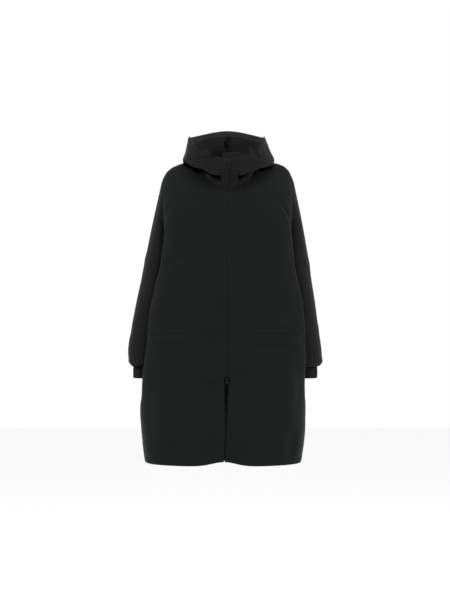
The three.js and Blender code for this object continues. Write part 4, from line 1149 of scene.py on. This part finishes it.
def rounded_outline(points, radius, steps=4):
    out = []
    corners = [Vector(corner) for corner in points]
    for i, here in enumerate(corners):
        before, after = corners[i - 1], corners[(i + 1) % len(corners)]
        start = here + (before - here).normalized() * radius
        end = here + (after - here).normalized() * radius
        for k in range(steps + 1):
            t = k / steps
            q = start.lerp(here, t).lerp(here.lerp(end, t), t)
            out.append((q.x, q.y))
    return out


def bridge(x, front, z):
    """An arch over the pull's bar, sunk a little into the slider's front plate."""
    tall, bar, wide, sink = BRIDGE["height"] / 2, BRIDGE["bar"], BRIDGE["width"] / 2, 0.2
    reach, turns = BRIDGE["space"] + bar + sink, BRIDGE["turns"]
    vertices, faces = [], []
    for k in range(turns + 1):
        a = math.pi * k / turns
        out = math.sin(a) ** BRIDGE["roundness"]
        for sign in (-1, 1):
            for inset in (0, bar):
                y = front + sink - (reach - inset) * out
                vertices.append((x + sign * wide, y, z + (tall - inset) * math.cos(a)))
    for k in range(turns):
        a, b = 4 * k, 4 * k + 4
        faces += [[a, a + 2, b + 2, b], [a + 1, b + 1, b + 3, a + 3], [a, b, b + 1, a + 1],
                  [a + 2, a + 3, b + 3, b + 2]]
    last = 4 * turns
    return vertices, faces + [[0, 1, 3, 2], [last, last + 2, last + 3, last + 1]]


def slider(word):
    x, y, z = (SLIDERS[word][k] for k in "xyz")
    half, nose, top = SLIDER["width"] / 2, SLIDER["nose"] / 2, SLIDER["height"] / 2
    front = y - SLIDER["depth"]
    shield = [(half, top), (-half, top), (-half, top * 0.1), (-nose, -top), (nose, -top),
              (half, top * 0.1)]
    wedge = [(-1.4, top - 0.4), (-0.5, -top * 0.5), (0.5, -top * 0.5), (1.4, top - 0.4)]
    rail = [(half * 0.98, top * 0.9), (half - 1.0, top * 0.9), (half - 1.0, top * 0.1),
            (nose - 0.6, -top * 0.95), (nose - 0.02, -top * 0.95), (half * 0.98, top * 0.1)]

    def placed(outline, sign=1):
        return [(x + sign * a, z + b) for a, b in outline]

    plate = rounded_outline(placed(shield), 1.1)
    parts = [bevelled(*loop_prism(plate, front + 1.1, front), 0.25),
             bevelled(*loop_prism(plate, y, y - 1.0), 0.2),
             bevelled(*loop_prism(placed(wedge), y - 0.9, front + 1.0), 0.1, 1)]
    # Flanges turned in along both sides
    for sign in (-1, 1):
        flange = loop_prism(placed(rail, sign), front + 1.6, front + 0.9)
        parts.append(bevelled(*flange, 0.1, 1))
    parts.append(bevelled(*bridge(x, front, z), 0.18))
    return join(f"slider_{word}_metal", parts)


def pull(word):
    place = SLIDERS[word]
    x, half, thick, bar = place["x"], PULL["width"] / 2, PULL["thick"] / 2, PULL["bar"] / 2
    pin_y = place["y"] - SLIDER["depth"] - BRIDGE["space"] / 2
    pin_z = place["z"] + PULL["rise"]
    bottom = pin_z + bar - place["length"]
    wide, tall = PULL["window"]
    outer = rounded_outline(box_outline(x, half, pin_z + bar, bottom), 1.3)
    inner = rounded_outline(box_outline(x, wide / 2, pin_z - bar, pin_z - bar - tall), 0.8)
    vertices, faces = [], []
    count = len(outer)
    for y in (pin_y - thick, pin_y + thick):
        vertices += [(a, y, b) for a, b in outer + inner]
    for k in range(count):
        n = (k + 1) % count
        faces += [[k, n, n + count, k + count],
                  [k + 2 * count, k + 3 * count, n + 3 * count, n + 2 * count],
                  [k, k + 2 * count, n + 2 * count, n],
                  [k + count, n + count, n + 3 * count, k + 3 * count]]
    parts = [bevelled(vertices, faces, 0.22)]
    # Low grip bars across the lower half, front and back
    for row in range(3):
        z = bottom + 2.2 + 1.5 * row
        grip = box_outline(x, half - PULL["inset"], z, z - 0.7)
        for sign in (-1, 1):
            y = pin_y + sign * thick
            parts.append(bevelled(*loop_prism(grip, y - sign * 0.2, y + sign * 0.22), 0.12, 1))
    return join(f"pull_{word}_metal", parts)


for word in SLIDERS:
    pieces[f"slider_{word}"] = slider(word)
    pieces[f"pull_{word}"] = pull(word)


def ring_of(work, radius_y, radius_z, steps, place):
    """Vertices round a circle or an ellipse. place puts its two coordinates in 3-D."""
    turns = (2 * math.pi * k / steps for k in range(steps))
    return [work.verts.new(place(radius_y * math.cos(a), radius_z * math.sin(a))) for a in turns]


def snap_cap():
    foot = on_hood(SNAP["x"], SNAP["station"], LAID + FLAP["wall"] + 0.15)
    away = unit(foot - on_hood(SNAP["x"], SNAP["station"], 0))
    work = bmesh.new()
    count = SNAP["around"]
    rings = [ring_of(work, r, r, count, lambda a, b: (a, b, h)) for r, h in SNAP_PROFILE[1:-1]]
    top, bottom = (work.verts.new((0, 0, SNAP_PROFILE[k][1])) for k in (0, -1))
    for k in range(count):
        n = (k + 1) % count
        work.faces.new([top, rings[0][k], rings[0][n]])
        for a, b in zip(rings[:-1], rings[1:]):
            work.faces.new([a[k], b[k], b[n], a[n]])
        work.faces.new([bottom, rings[-1][n], rings[-1][k]])
    turn = Vector((0, 0, 1)).rotation_difference(Vector(away)).to_matrix().to_4x4()
    place = Matrix.Scale(MM, 4) @ Matrix.Translation(Vector(foot)) @ turn
    bmesh.ops.transform(work, matrix=place, verts=work.verts)
    bmesh.ops.recalc_face_normals(work, faces=work.faces)
    return smooth_object("snap_metal", mesh_from("snap", work))


pieces["snap"] = snap_cap()


# Materials
class Value:
    """A socket that takes part in Python sums, each of which adds a Math node."""

    def __init__(self, tree, socket):
        self.tree, self.socket = tree, socket

    def sum(self, kind, *parts):
        node = self.tree.nodes.new("ShaderNodeMath")
        node.operation = kind
        for socket, part in zip(node.inputs, parts):
            if isinstance(part, Value):
                self.tree.links.new(part.socket, socket)
            else:
                socket.default_value = part
        return Value(self.tree, node.outputs[0])

    def __add__(self, other): return self.sum("ADD", self, other)
    def __radd__(self, other): return self.sum("ADD", other, self)
    def __sub__(self, other): return self.sum("SUBTRACT", self, other)
    def __rsub__(self, other): return self.sum("SUBTRACT", other, self)
    def __mul__(self, other): return self.sum("MULTIPLY", self, other)
    def __rmul__(self, other): return self.sum("MULTIPLY", other, self)
    def sine(self): return self.sum("SINE", self)


class Nodes:
    """A node tree and the one way of adding nodes to it."""

    def __init__(self, tree):
        self.tree = tree

    def node(self, kind, settings=None, **values):
        """Adds a node. An input's name has _ for a space, and _1 is the input at place 1."""
        node = self.tree.nodes.new(kind)
        for name, value in (settings or {}).items():
            if name == "stops":
                for stop, (at, colour) in zip(node.color_ramp.elements, value):
                    stop.position, stop.color = at, (*colour, 1)
            else:
                setattr(node, name, value)
        for name, value in values.items():
            key = int(name[1:]) if name[0] == "_" else name.replace("_", " ")
            self.put(value, node.inputs[key])
        return node

    def put(self, value, socket):
        if isinstance(value, Value):
            value = value.socket
        if isinstance(value, bpy.types.NodeSocket):
            self.tree.links.new(value, socket)
        else:
            socket.default_value = value


class Finish(Nodes):
    """A material with its Principled shader."""

    def __init__(self, name):
        self.material = bpy.data.materials.new(name)
        self.material.use_nodes = True
        super().__init__(self.material.node_tree)
        self.shader = self.find("BSDF_PRINCIPLED")

    def find(self, kind):
        return next(node for node in self.tree.nodes if node.type == kind)

    def value(self, node, output=0):
        return Value(self.tree, node.outputs[output])

    def place(self):
        return self.node("ShaderNodeTexCoord").outputs["Object"]

    def cloth_place(self):
        return self.node("ShaderNodeUVMap", {"uv_map": "cloth"}).outputs["UV"]

    def noise(self, vector, scale, detail=2.0, roughness=0.5):
        return self.value(self.node("ShaderNodeTexNoise", Vector=vector, Scale=scale,
                                    Detail=detail, Roughness=roughness))

    def mix(self, share, first, second):
        return self.node("ShaderNodeMix", {"data_type": "RGBA"}, Factor=share,
                         _6=(*first, 1), _7=(*second, 1)).outputs[2]

    def bump(self, height, distance, strength=1.0, under=None):
        extra = {} if under is None else {"Normal": under}
        return self.node("ShaderNodeBump", Strength=strength, Distance=distance, Height=height,
                         **extra).outputs["Normal"]

    def shade(self):
        """Painted shade: near-black cloth mixed in where the piece's painted_shade attribute is 1.
        """
        painted_shade = self.node("ShaderNodeAttribute", {"attribute_name": "painted_shade"}).outputs["Fac"]
        black = self.node("ShaderNodeBsdfDiffuse", Color=(0.0004, 0.0004, 0.0004, 1))
        mixed = self.node("ShaderNodeMixShader", Fac=painted_shade, _1=self.shader.outputs[0],
                          _2=black.outputs[0])
        self.put(mixed.outputs[0], self.find("OUTPUT_MATERIAL").inputs["Surface"])

    def set(self, **values):
        for name, value in values.items():
            self.put(value, self.shader.inputs[name.replace("_", " ")])


def woven_cloth(name, dark, light, weave=0.75, sheen=0.2, twill=False, shaded=True):
    """Fine weave on the piece's own cloth coordinates, in metres."""
    f = Finish(name)
    uv, place = f.cloth_place(), f.place()
    parts = f.node("ShaderNodeSeparateXYZ", Vector=uv)
    turns = 2 * math.pi / (weave * MM)
    across, down = f.value(parts, 0) * turns, f.value(parts, 1) * turns
    if twill:
        threads = (across + down).sine()
    else:
        slub = f.noise(uv, 900.0, 1.0) * 1.2
        threads = (across + slub).sine() * (down + slub).sine()
    cloudy = f.noise(place, 14.0, 3.0, 0.55)
    mottle = f.noise(place, 120.0, 2.0, 0.6)
    ripple = f.bump(mottle + cloudy * 0.5, 0.0004, 0.5)
    f.set(Base_Color=f.mix(cloudy * 0.6 + mottle * 0.3 + threads * 0.06, dark, light),
          Roughness=0.8 + (mottle - 0.5) * 0.16 + threads * 0.03,
          Normal=f.bump(threads, 0.00006, 0.6, ripple),
          Specular_IOR_Level=0.06, Sheen_Weight=sheen, Sheen_Roughness=0.45,
          Sheen_Tint=(0.30, 0.31, 0.32, 1))
    # shaded mixes in the painted shade
    if shaded:
        f.shade()
    return f.material


def knit_rib(name, dark, light):
    f = Finish(name)
    uv, place = f.cloth_place(), f.place()
    down = f.value(f.node("ShaderNodeSeparateXYZ", Vector=uv), 1)
    turns = 2 * math.pi / 0.0011
    loops = (down * turns + f.noise(place, 500.0, 1.0) * 2.0).sine()
    fuzz = f.noise(place, 260.0, 3.0, 0.7)
    f.set(Base_Color=f.mix(fuzz * 0.8 + loops * 0.1, dark, light),
          Roughness=0.85 + (fuzz - 0.5) * 0.2, Normal=f.bump(loops * 0.6 + fuzz, 0.0002, 0.6),
          Specular_IOR_Level=0.05, Sheen_Weight=0.25, Sheen_Roughness=0.5,
          Sheen_Tint=(0.3, 0.3, 0.31, 1))
    # Painted shade from the piece's painted_shade attribute
    f.shade()
    return f.material


def dark_metal(name, colour, worn, rough):
    """Painted zinc, rubbed a little lighter on its raised places."""
    f = Finish(name)
    place = f.place()
    grain = f.noise(place, 900.0, 3.0, 0.6)
    patches = f.noise(place, 160.0, 2.0, 0.5)
    raised = f.node("ShaderNodeNewGeometry").outputs["Pointiness"]
    stops = [(0.5, (0, 0, 0)), (0.62, (1, 1, 1))]
    edge = f.node("ShaderNodeValToRGB", {"stops": stops}, Fac=raised)
    rubbed = f.value(edge) * (0.35 + patches * 0.6)
    f.set(Base_Color=f.mix(rubbed, colour, worn),
          Roughness=rough + (grain - 0.5) * 0.2 + (patches - 0.5) * 0.1,
          Normal=f.bump(grain, 0.00003, 0.5), Metallic=0.85, Specular_IOR_Level=0.5)
    return f.material


def mottled(name, dark, light, scale, grain, rough, spread, **constants):
    """A plain finish with a fine grain, for thread and plastic."""
    f = Finish(name)
    speck = f.noise(f.place(), scale, 2.0, grain)
    f.set(Base_Color=f.mix(speck, dark, light), Roughness=rough + (speck - 0.5) * spread,
          **constants)
    return f.material


body_cloth = woven_cloth("body_cloth", (0.0055, 0.0067, 0.0064), (0.0089, 0.0105, 0.0102))
sleeve_cloth = woven_cloth("sleeve_cloth", (0.0067, 0.0065, 0.0065), (0.0108, 0.0105, 0.0105))
# Lining and rim facing colours are raised as painted light inside the hood
lining_painted_light_cloth = woven_cloth("hood_lining", (0.0190, 0.0188, 0.0188), (0.0280, 0.0277, 0.0277))
facing_painted_light_cloth = woven_cloth("hood_facing", (0.0310, 0.0308, 0.0308), (0.0440, 0.0437, 0.0437))
tape_cloth = woven_cloth("zip_tape_weave", (0.0014, 0.0014, 0.0014), (0.0030, 0.0030, 0.0030),
                         weave=1.0, sheen=0.04, twill=True, shaded=False)
rib_knit = knit_rib("cuff_knit", (0.0054, 0.0058, 0.0056), (0.0122, 0.0130, 0.0127))
zip_paint = dark_metal("zip_paint", (0.0055, 0.0056, 0.0058), (0.030, 0.030, 0.031), 0.45)
snap_paint = dark_metal("snap_paint", (0.012, 0.0122, 0.0124), (0.040, 0.040, 0.041), 0.42)
stitch_thread = mottled(
    "stitch_thread", (0.0045, 0.0048, 0.0047), (0.0105, 0.0112, 0.011), 1800.0, 0.6, 0.75, 0.3,
    Specular_IOR_Level=0.08, Sheen_Weight=0.1, Sheen_Roughness=0.4)
coil_plastic = mottled(
    "coil_plastic", (0.0022, 0.0022, 0.0023), (0.005, 0.005, 0.0052), 600.0, 0.5, 0.5, 0.2,
    Specular_IOR_Level=0.2)


# Stitches and zip teeth
def bead(name, length, width, height, steps):
    """A low rounded bar along X, a few dozen faces."""
    work = bmesh.new()
    rings = []
    for k in range(5):
        t = k / 4
        scale = math.sin(math.pi * lerp(0.14, 0.86, t)) ** 0.6 * MM
        x = (t - 0.5) * length * MM
        rings.append(ring_of(work, width / 2 * scale, height / 2 * scale, steps,
                             lambda a, b: (x, a, b)))
    for a, b in zip(rings[:-1], rings[1:]):
        for i in range(steps):
            work.faces.new([a[i], b[i], b[(i + 1) % steps], a[(i + 1) % steps]])
    work.faces.new(rings[0])
    work.faces.new(list(reversed(rings[-1])))
    bmesh.ops.recalc_face_normals(work, faces=work.faces)
    return smooth_object(name, mesh_from(name, work))


def repeat_tree(material):
    """Repeats one small shape along edges, turned to the path and to the stored facing."""
    nodes = Nodes(bpy.data.node_groups.new("repeat_along_path", "GeometryNodeTree"))
    new, sockets = nodes.node, nodes.tree.interface.new_socket
    sockets("Geometry", in_out="INPUT", socket_type="NodeSocketGeometry")
    kinds = {"Spacing": "Float", "Shape": "Object", "Unevenness": "Float"}
    inputs = {name: sockets(name, in_out="INPUT", socket_type=f"NodeSocket{kind}").identifier
              for name, kind in kinds.items()}
    sockets("Geometry", in_out="OUTPUT", socket_type="NodeSocketGeometry")
    start = new("NodeGroupInput").outputs
    facing = new("GeometryNodeInputNamedAttribute", {"data_type": "FLOAT_VECTOR"}, Name="facing")
    curve = new("GeometryNodeMeshToCurve", Mesh=start["Geometry"]).outputs["Curve"]
    keep = new("GeometryNodeResampleCurve", {"mode": "LENGTH"}, Curve=curve,
               Length=start["Spacing"])
    axes = new("FunctionNodeAxesToRotation", {"primary_axis": "X", "secondary_axis": "Z"},
               _0=new("GeometryNodeInputTangent").outputs[0], _1=facing.outputs["Attribute"])
    shape = new("GeometryNodeObjectInfo", Object=start["Shape"]).outputs["Geometry"]
    smallest = 1.0 - Value(nodes.tree, start["Unevenness"])
    size = new("FunctionNodeRandomValue", {"data_type": "FLOAT"}, Seed=7, _2=smallest, _3=1.0)
    place = new("GeometryNodeInstanceOnPoints", Points=keep.outputs["Curve"], Instance=shape,
                Rotation=axes.outputs[0], Scale=size.outputs[1])
    real = new("GeometryNodeRealizeInstances", Geometry=place.outputs["Instances"])
    dressed = new("GeometryNodeSetMaterial", Geometry=real.outputs["Geometry"], Material=material)
    new("NodeGroupOutput", Geometry=dressed.outputs["Geometry"])
    return nodes.tree, inputs


def along_paths(name, paths, shape, spacing, material, uneven=0.12):
    """paths are lists of (points, facings). Returns one plain mesh of the repeated shape."""
    vertices, facings, edges = [], [], []
    for points, ways in paths:
        first = len(vertices)
        vertices += [tuple(p) for p in np.asarray(points) * MM]
        facings += [tuple(w) for w in ways]
        edges += [(first + k, first + k + 1) for k in range(len(points) - 1)]
    mesh = bpy.data.meshes.new(name + "_path")
    mesh.from_pydata(vertices, edges, [])
    layer = mesh.attributes.new("facing", "FLOAT_VECTOR", "POINT")
    layer.data.foreach_set("vector", np.array(facings, float).ravel())
    holder = add_object(name + "_path", mesh)
    tree, inputs = repeat_tree(material)
    modifier = holder.modifiers.new("repeat", "NODES")
    modifier.node_group = tree
    modifier[inputs["Spacing"]] = spacing * MM
    modifier[inputs["Shape"]] = shape
    modifier[inputs["Unevenness"]] = uneven
    graph = bpy.context.evaluated_depsgraph_get()
    made = bpy.data.meshes.new_from_object(holder.evaluated_get(graph))
    holder.modifiers.clear()
    for used in (holder, shape):
        bpy.data.objects.remove(used)
    return add_object(name, made)


STITCH_LIFT = -0.12


def line_on(name, row, column):
    """A path on a wall's outer face, through fractional places in its rows and columns."""
    outer, inner = walls[name]
    r, c = np.broadcast_arrays(np.asarray(row, float), np.asarray(column, float))
    r, c = np.clip(r, 0, outer.shape[0] - 1), np.clip(c, 0, outer.shape[1] - 1)
    r0 = np.minimum(r.astype(int), outer.shape[0] - 2)
    c0 = np.minimum(c.astype(int), outer.shape[1] - 2)
    tr, tc = (r - r0)[:, None], (c - c0)[:, None]

    def sample(grid):
        upper, lower = (lerp(grid[k, c0], grid[k, c0 + 1], tc) for k in (r0, r0 + 1))
        return lerp(upper, lower, tr)

    facing = unit(sample(unit(outer - inner)))
    return sample(outer) + facing * STITCH_LIFT, facing


def seam_path(name, edge, distance, start=0, end=None):
    """A path at a distance from a wall's top, bottom, first or last edge, between two rows or
    columns."""
    axis = 0 if edge in ("top", "bottom") else 1
    lengths = np.moveaxis(arc_lengths(walls[name][0], axis), axis, 0)
    others = np.arange(start, lengths.shape[1] if end is None else end)
    places = []
    for k in others:
        line = lengths[:, k]
        from_start = line[-1] - distance if edge in ("bottom", "last") else distance
        places.append(np.interp(from_start, line, np.arange(len(line))))
    return line_on(name, places, others) if axis == 0 else line_on(name, others, places)


GUARD_STITCH, CUFF_STITCH, HIP_STITCH = 3.0, 3.0, 4
neck_row = int(np.argmin(np.abs(upper_rows - NECK_FRONT))) + 1
stitch_paths = [seam_path(name, "bottom", HEM_STITCH)
                for name in ("back", "front_lower_left", "front_lower_right")]
for word in SIDES:
    stitch_paths += [
        seam_path(f"front_upper_{word}", "first", EDGE_STITCH, neck_row),
        seam_path(f"front_lower_{word}", "first", EDGE_STITCH, end=SKIRT_ROWS - 6),
        seam_path(f"front_upper_{word}", "bottom", HIP_STITCH, 2),
        seam_path(f"hood_{word}", "bottom", RIM_STITCH, 3, len(hood_places) - 1),
        seam_path(f"hood_{word}", "first", EDGE_STITCH, 3, len(hood_alongs) - 8),
        seam_path(f"hood_{word}", "last", 3.2, 2),
        seam_path(f"cuff_{word}", "top", CUFF_STITCH),
    ]
for welt in WELTS:
    stitch_paths += [seam_path(welt, "bottom", WELT_STITCH, 4, 36),
                     seam_path(welt, "first", WELT_STITCH, 1, 9),
                     seam_path(welt, "last", WELT_STITCH, 1, 9)]
stitch_paths += [seam_path("storm_flap", "first", FLAP["stitch"], end=44),
                 seam_path("storm_flap", "last", FLAP["stitch"], end=44),
                 seam_path("chin_guard", "top", GUARD_STITCH, 1, 20)]
stitch = bead("stitch", 2.5, 0.62, 0.5, 5)
pieces["stitching"] = along_paths("stitching", stitch_paths, stitch, 3.1, stitch_thread)


def facing_path(place, rows, depth):
    """A path with its facings, from a place at each row and one that lies 1 mm deeper."""
    points, deeper = (np.array([place(row, d) for row in rows]) for d in (depth, depth - 1))
    return points, unit(points - deeper)


slider_foot = SLIDERS["top"]["z"] - 6
top_row = next(k for k, row in enumerate(zip_rows) if on_hood(6, row[1], 0)[2] < slider_foot)
teeth_paths = []
for across in (-0.45, 0.45):
    teeth_paths.append(facing_path(lambda row, depth: tape_point(row, across, depth),
                                   zip_rows[top_row:-2], TAPE_FACE + 0.9))
for side in SIDES.values():
    at = vent_tape_point(side)
    teeth_paths.append(facing_path(lambda z, depth: at(z, 0.04, depth), vent_rows[:-1],
                                   TAPE_FACE + 0.5))
coil_bead = bead("coil_turn", 1.15, 1.5, 1.3, 6)
pieces["zip_coil"] = along_paths("zip_coil", teeth_paths, coil_bead, 1.5, coil_plastic, uneven=0.02)


# Finishes and bodies
def dress(name, material, body="garment", node=True):
    obj = pieces[name]
    if not obj.data.materials:
        obj.data.materials.append(material)
    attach(obj, body)
    if node:
        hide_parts(name)


for name in ("back", "front_upper_left", "front_upper_right", "front_lower_left",
             "front_lower_right", "pocket_welt_left", "pocket_welt_right", "storm_flap"):
    dress(name, body_cloth)
for name in ("sleeve_left", "sleeve_right", "hood_left", "hood_right", "chin_guard"):
    dress(name, sleeve_cloth)
# The hood's inner wall is lined, with a facing along its rim, both painted lighter than the outer
# cloth as painted light inside the hood, the facing most
for name in ("hood_left", "hood_right"):
    mesh = pieces[name].data
    mesh.materials.append(lining_painted_light_cloth)
    mesh.materials.append(facing_painted_light_cloth)
    to_rim = edge_gaps(walls[name][0])[1]
    inner_slots = np.where(to_rim[:-1, :-1] > RIM_STITCH, 1, 2).ravel()
    slots = np.zeros(len(mesh.polygons), np.int32)
    slots[inner_slots.size:2 * inner_slots.size] = inner_slots
    mesh.polygons.foreach_set("material_index", slots)
for name in ("cuff_left", "cuff_right"):
    dress(name, rib_knit)
for name in ("zip_tape", "vent_tape_left", "vent_tape_right", "hanger_loop"):
    dress(name, tape_cloth)
dress("snap", snap_paint)
for word in SLIDERS:
    dress(f"slider_{word}", zip_paint)
    dress(f"pull_{word}", zip_paint, body=f"pull_{word}")
dress("stitching", stitch_thread, node=False)
dress("zip_coil", coil_plastic, node=False)

# Floor, light and camera
FLOOR_HALF, FLOOR_HEIGHT = 9, -1.6
floor_mesh = bpy.data.meshes.new("floor")
corners = [(a * FLOOR_HALF, b * FLOOR_HALF, FLOOR_HEIGHT)
           for a, b in ((-1, -1), (1, -1), (1, 1), (-1, 1))]
floor_mesh.from_pydata(corners, [], [(0, 1, 2, 3)])
floor = add_object("floor", floor_mesh)
pale = Finish("pale_floor")
pale.set(Base_Color=(0.93, 0.93, 0.93, 1), Roughness=0.95, Specular_IOR_Level=0.0)
floor_mesh.materials.append(pale.material)

world = bpy.data.worlds.new("studio")
bpy.context.scene.world = world
world.use_nodes = True
sky = world.node_tree.nodes["Background"].inputs
sky["Color"].default_value, sky["Strength"].default_value = (1, 1, 1, 1), 1.0


def area_light(name, place, aim, size, power):
    data = bpy.data.lights.new(name, "AREA")
    data.shape, data.size, data.size_y, data.energy = "RECTANGLE", size[0], size[1], power
    obj = add_object(name, data)
    obj.location = place
    obj.rotation_euler = (Vector(aim) - Vector(place)).to_track_quat("-Z", "Y").to_euler()


area_light("soft_left", (-3.2, -1.2, 0.4), (0, 0, -0.45), (1.6, 2.6), 21)
area_light("soft_right", (3.2, -1.0, 0.3), (0, 0, -0.45), (1.6, 2.6), 25)
area_light("soft_top", (0.2, -1.6, 2.6), (0, 0, -0.3), (2.4, 1.6), 30)

# The picture is 1.95 m tall at the coat, seen from 5 m
DISTANCE, PICTURE_HEIGHT, SENSOR = 5.0, 1.95, 36
camera_data = bpy.data.cameras.new("camera")
camera = add_object("camera", camera_data)
camera.location = (-0.008, -DISTANCE, -0.439)
camera.rotation_euler = (math.radians(90), 0, 0)
camera_data.sensor_fit = "VERTICAL"
camera_data.sensor_height = SENSOR
camera_data.lens = SENSOR * DISTANCE / PICTURE_HEIGHT
camera_data.clip_end = 50
bpy.context.scene.camera = camera
bpy.context.scene.view_settings.view_transform = "Standard"
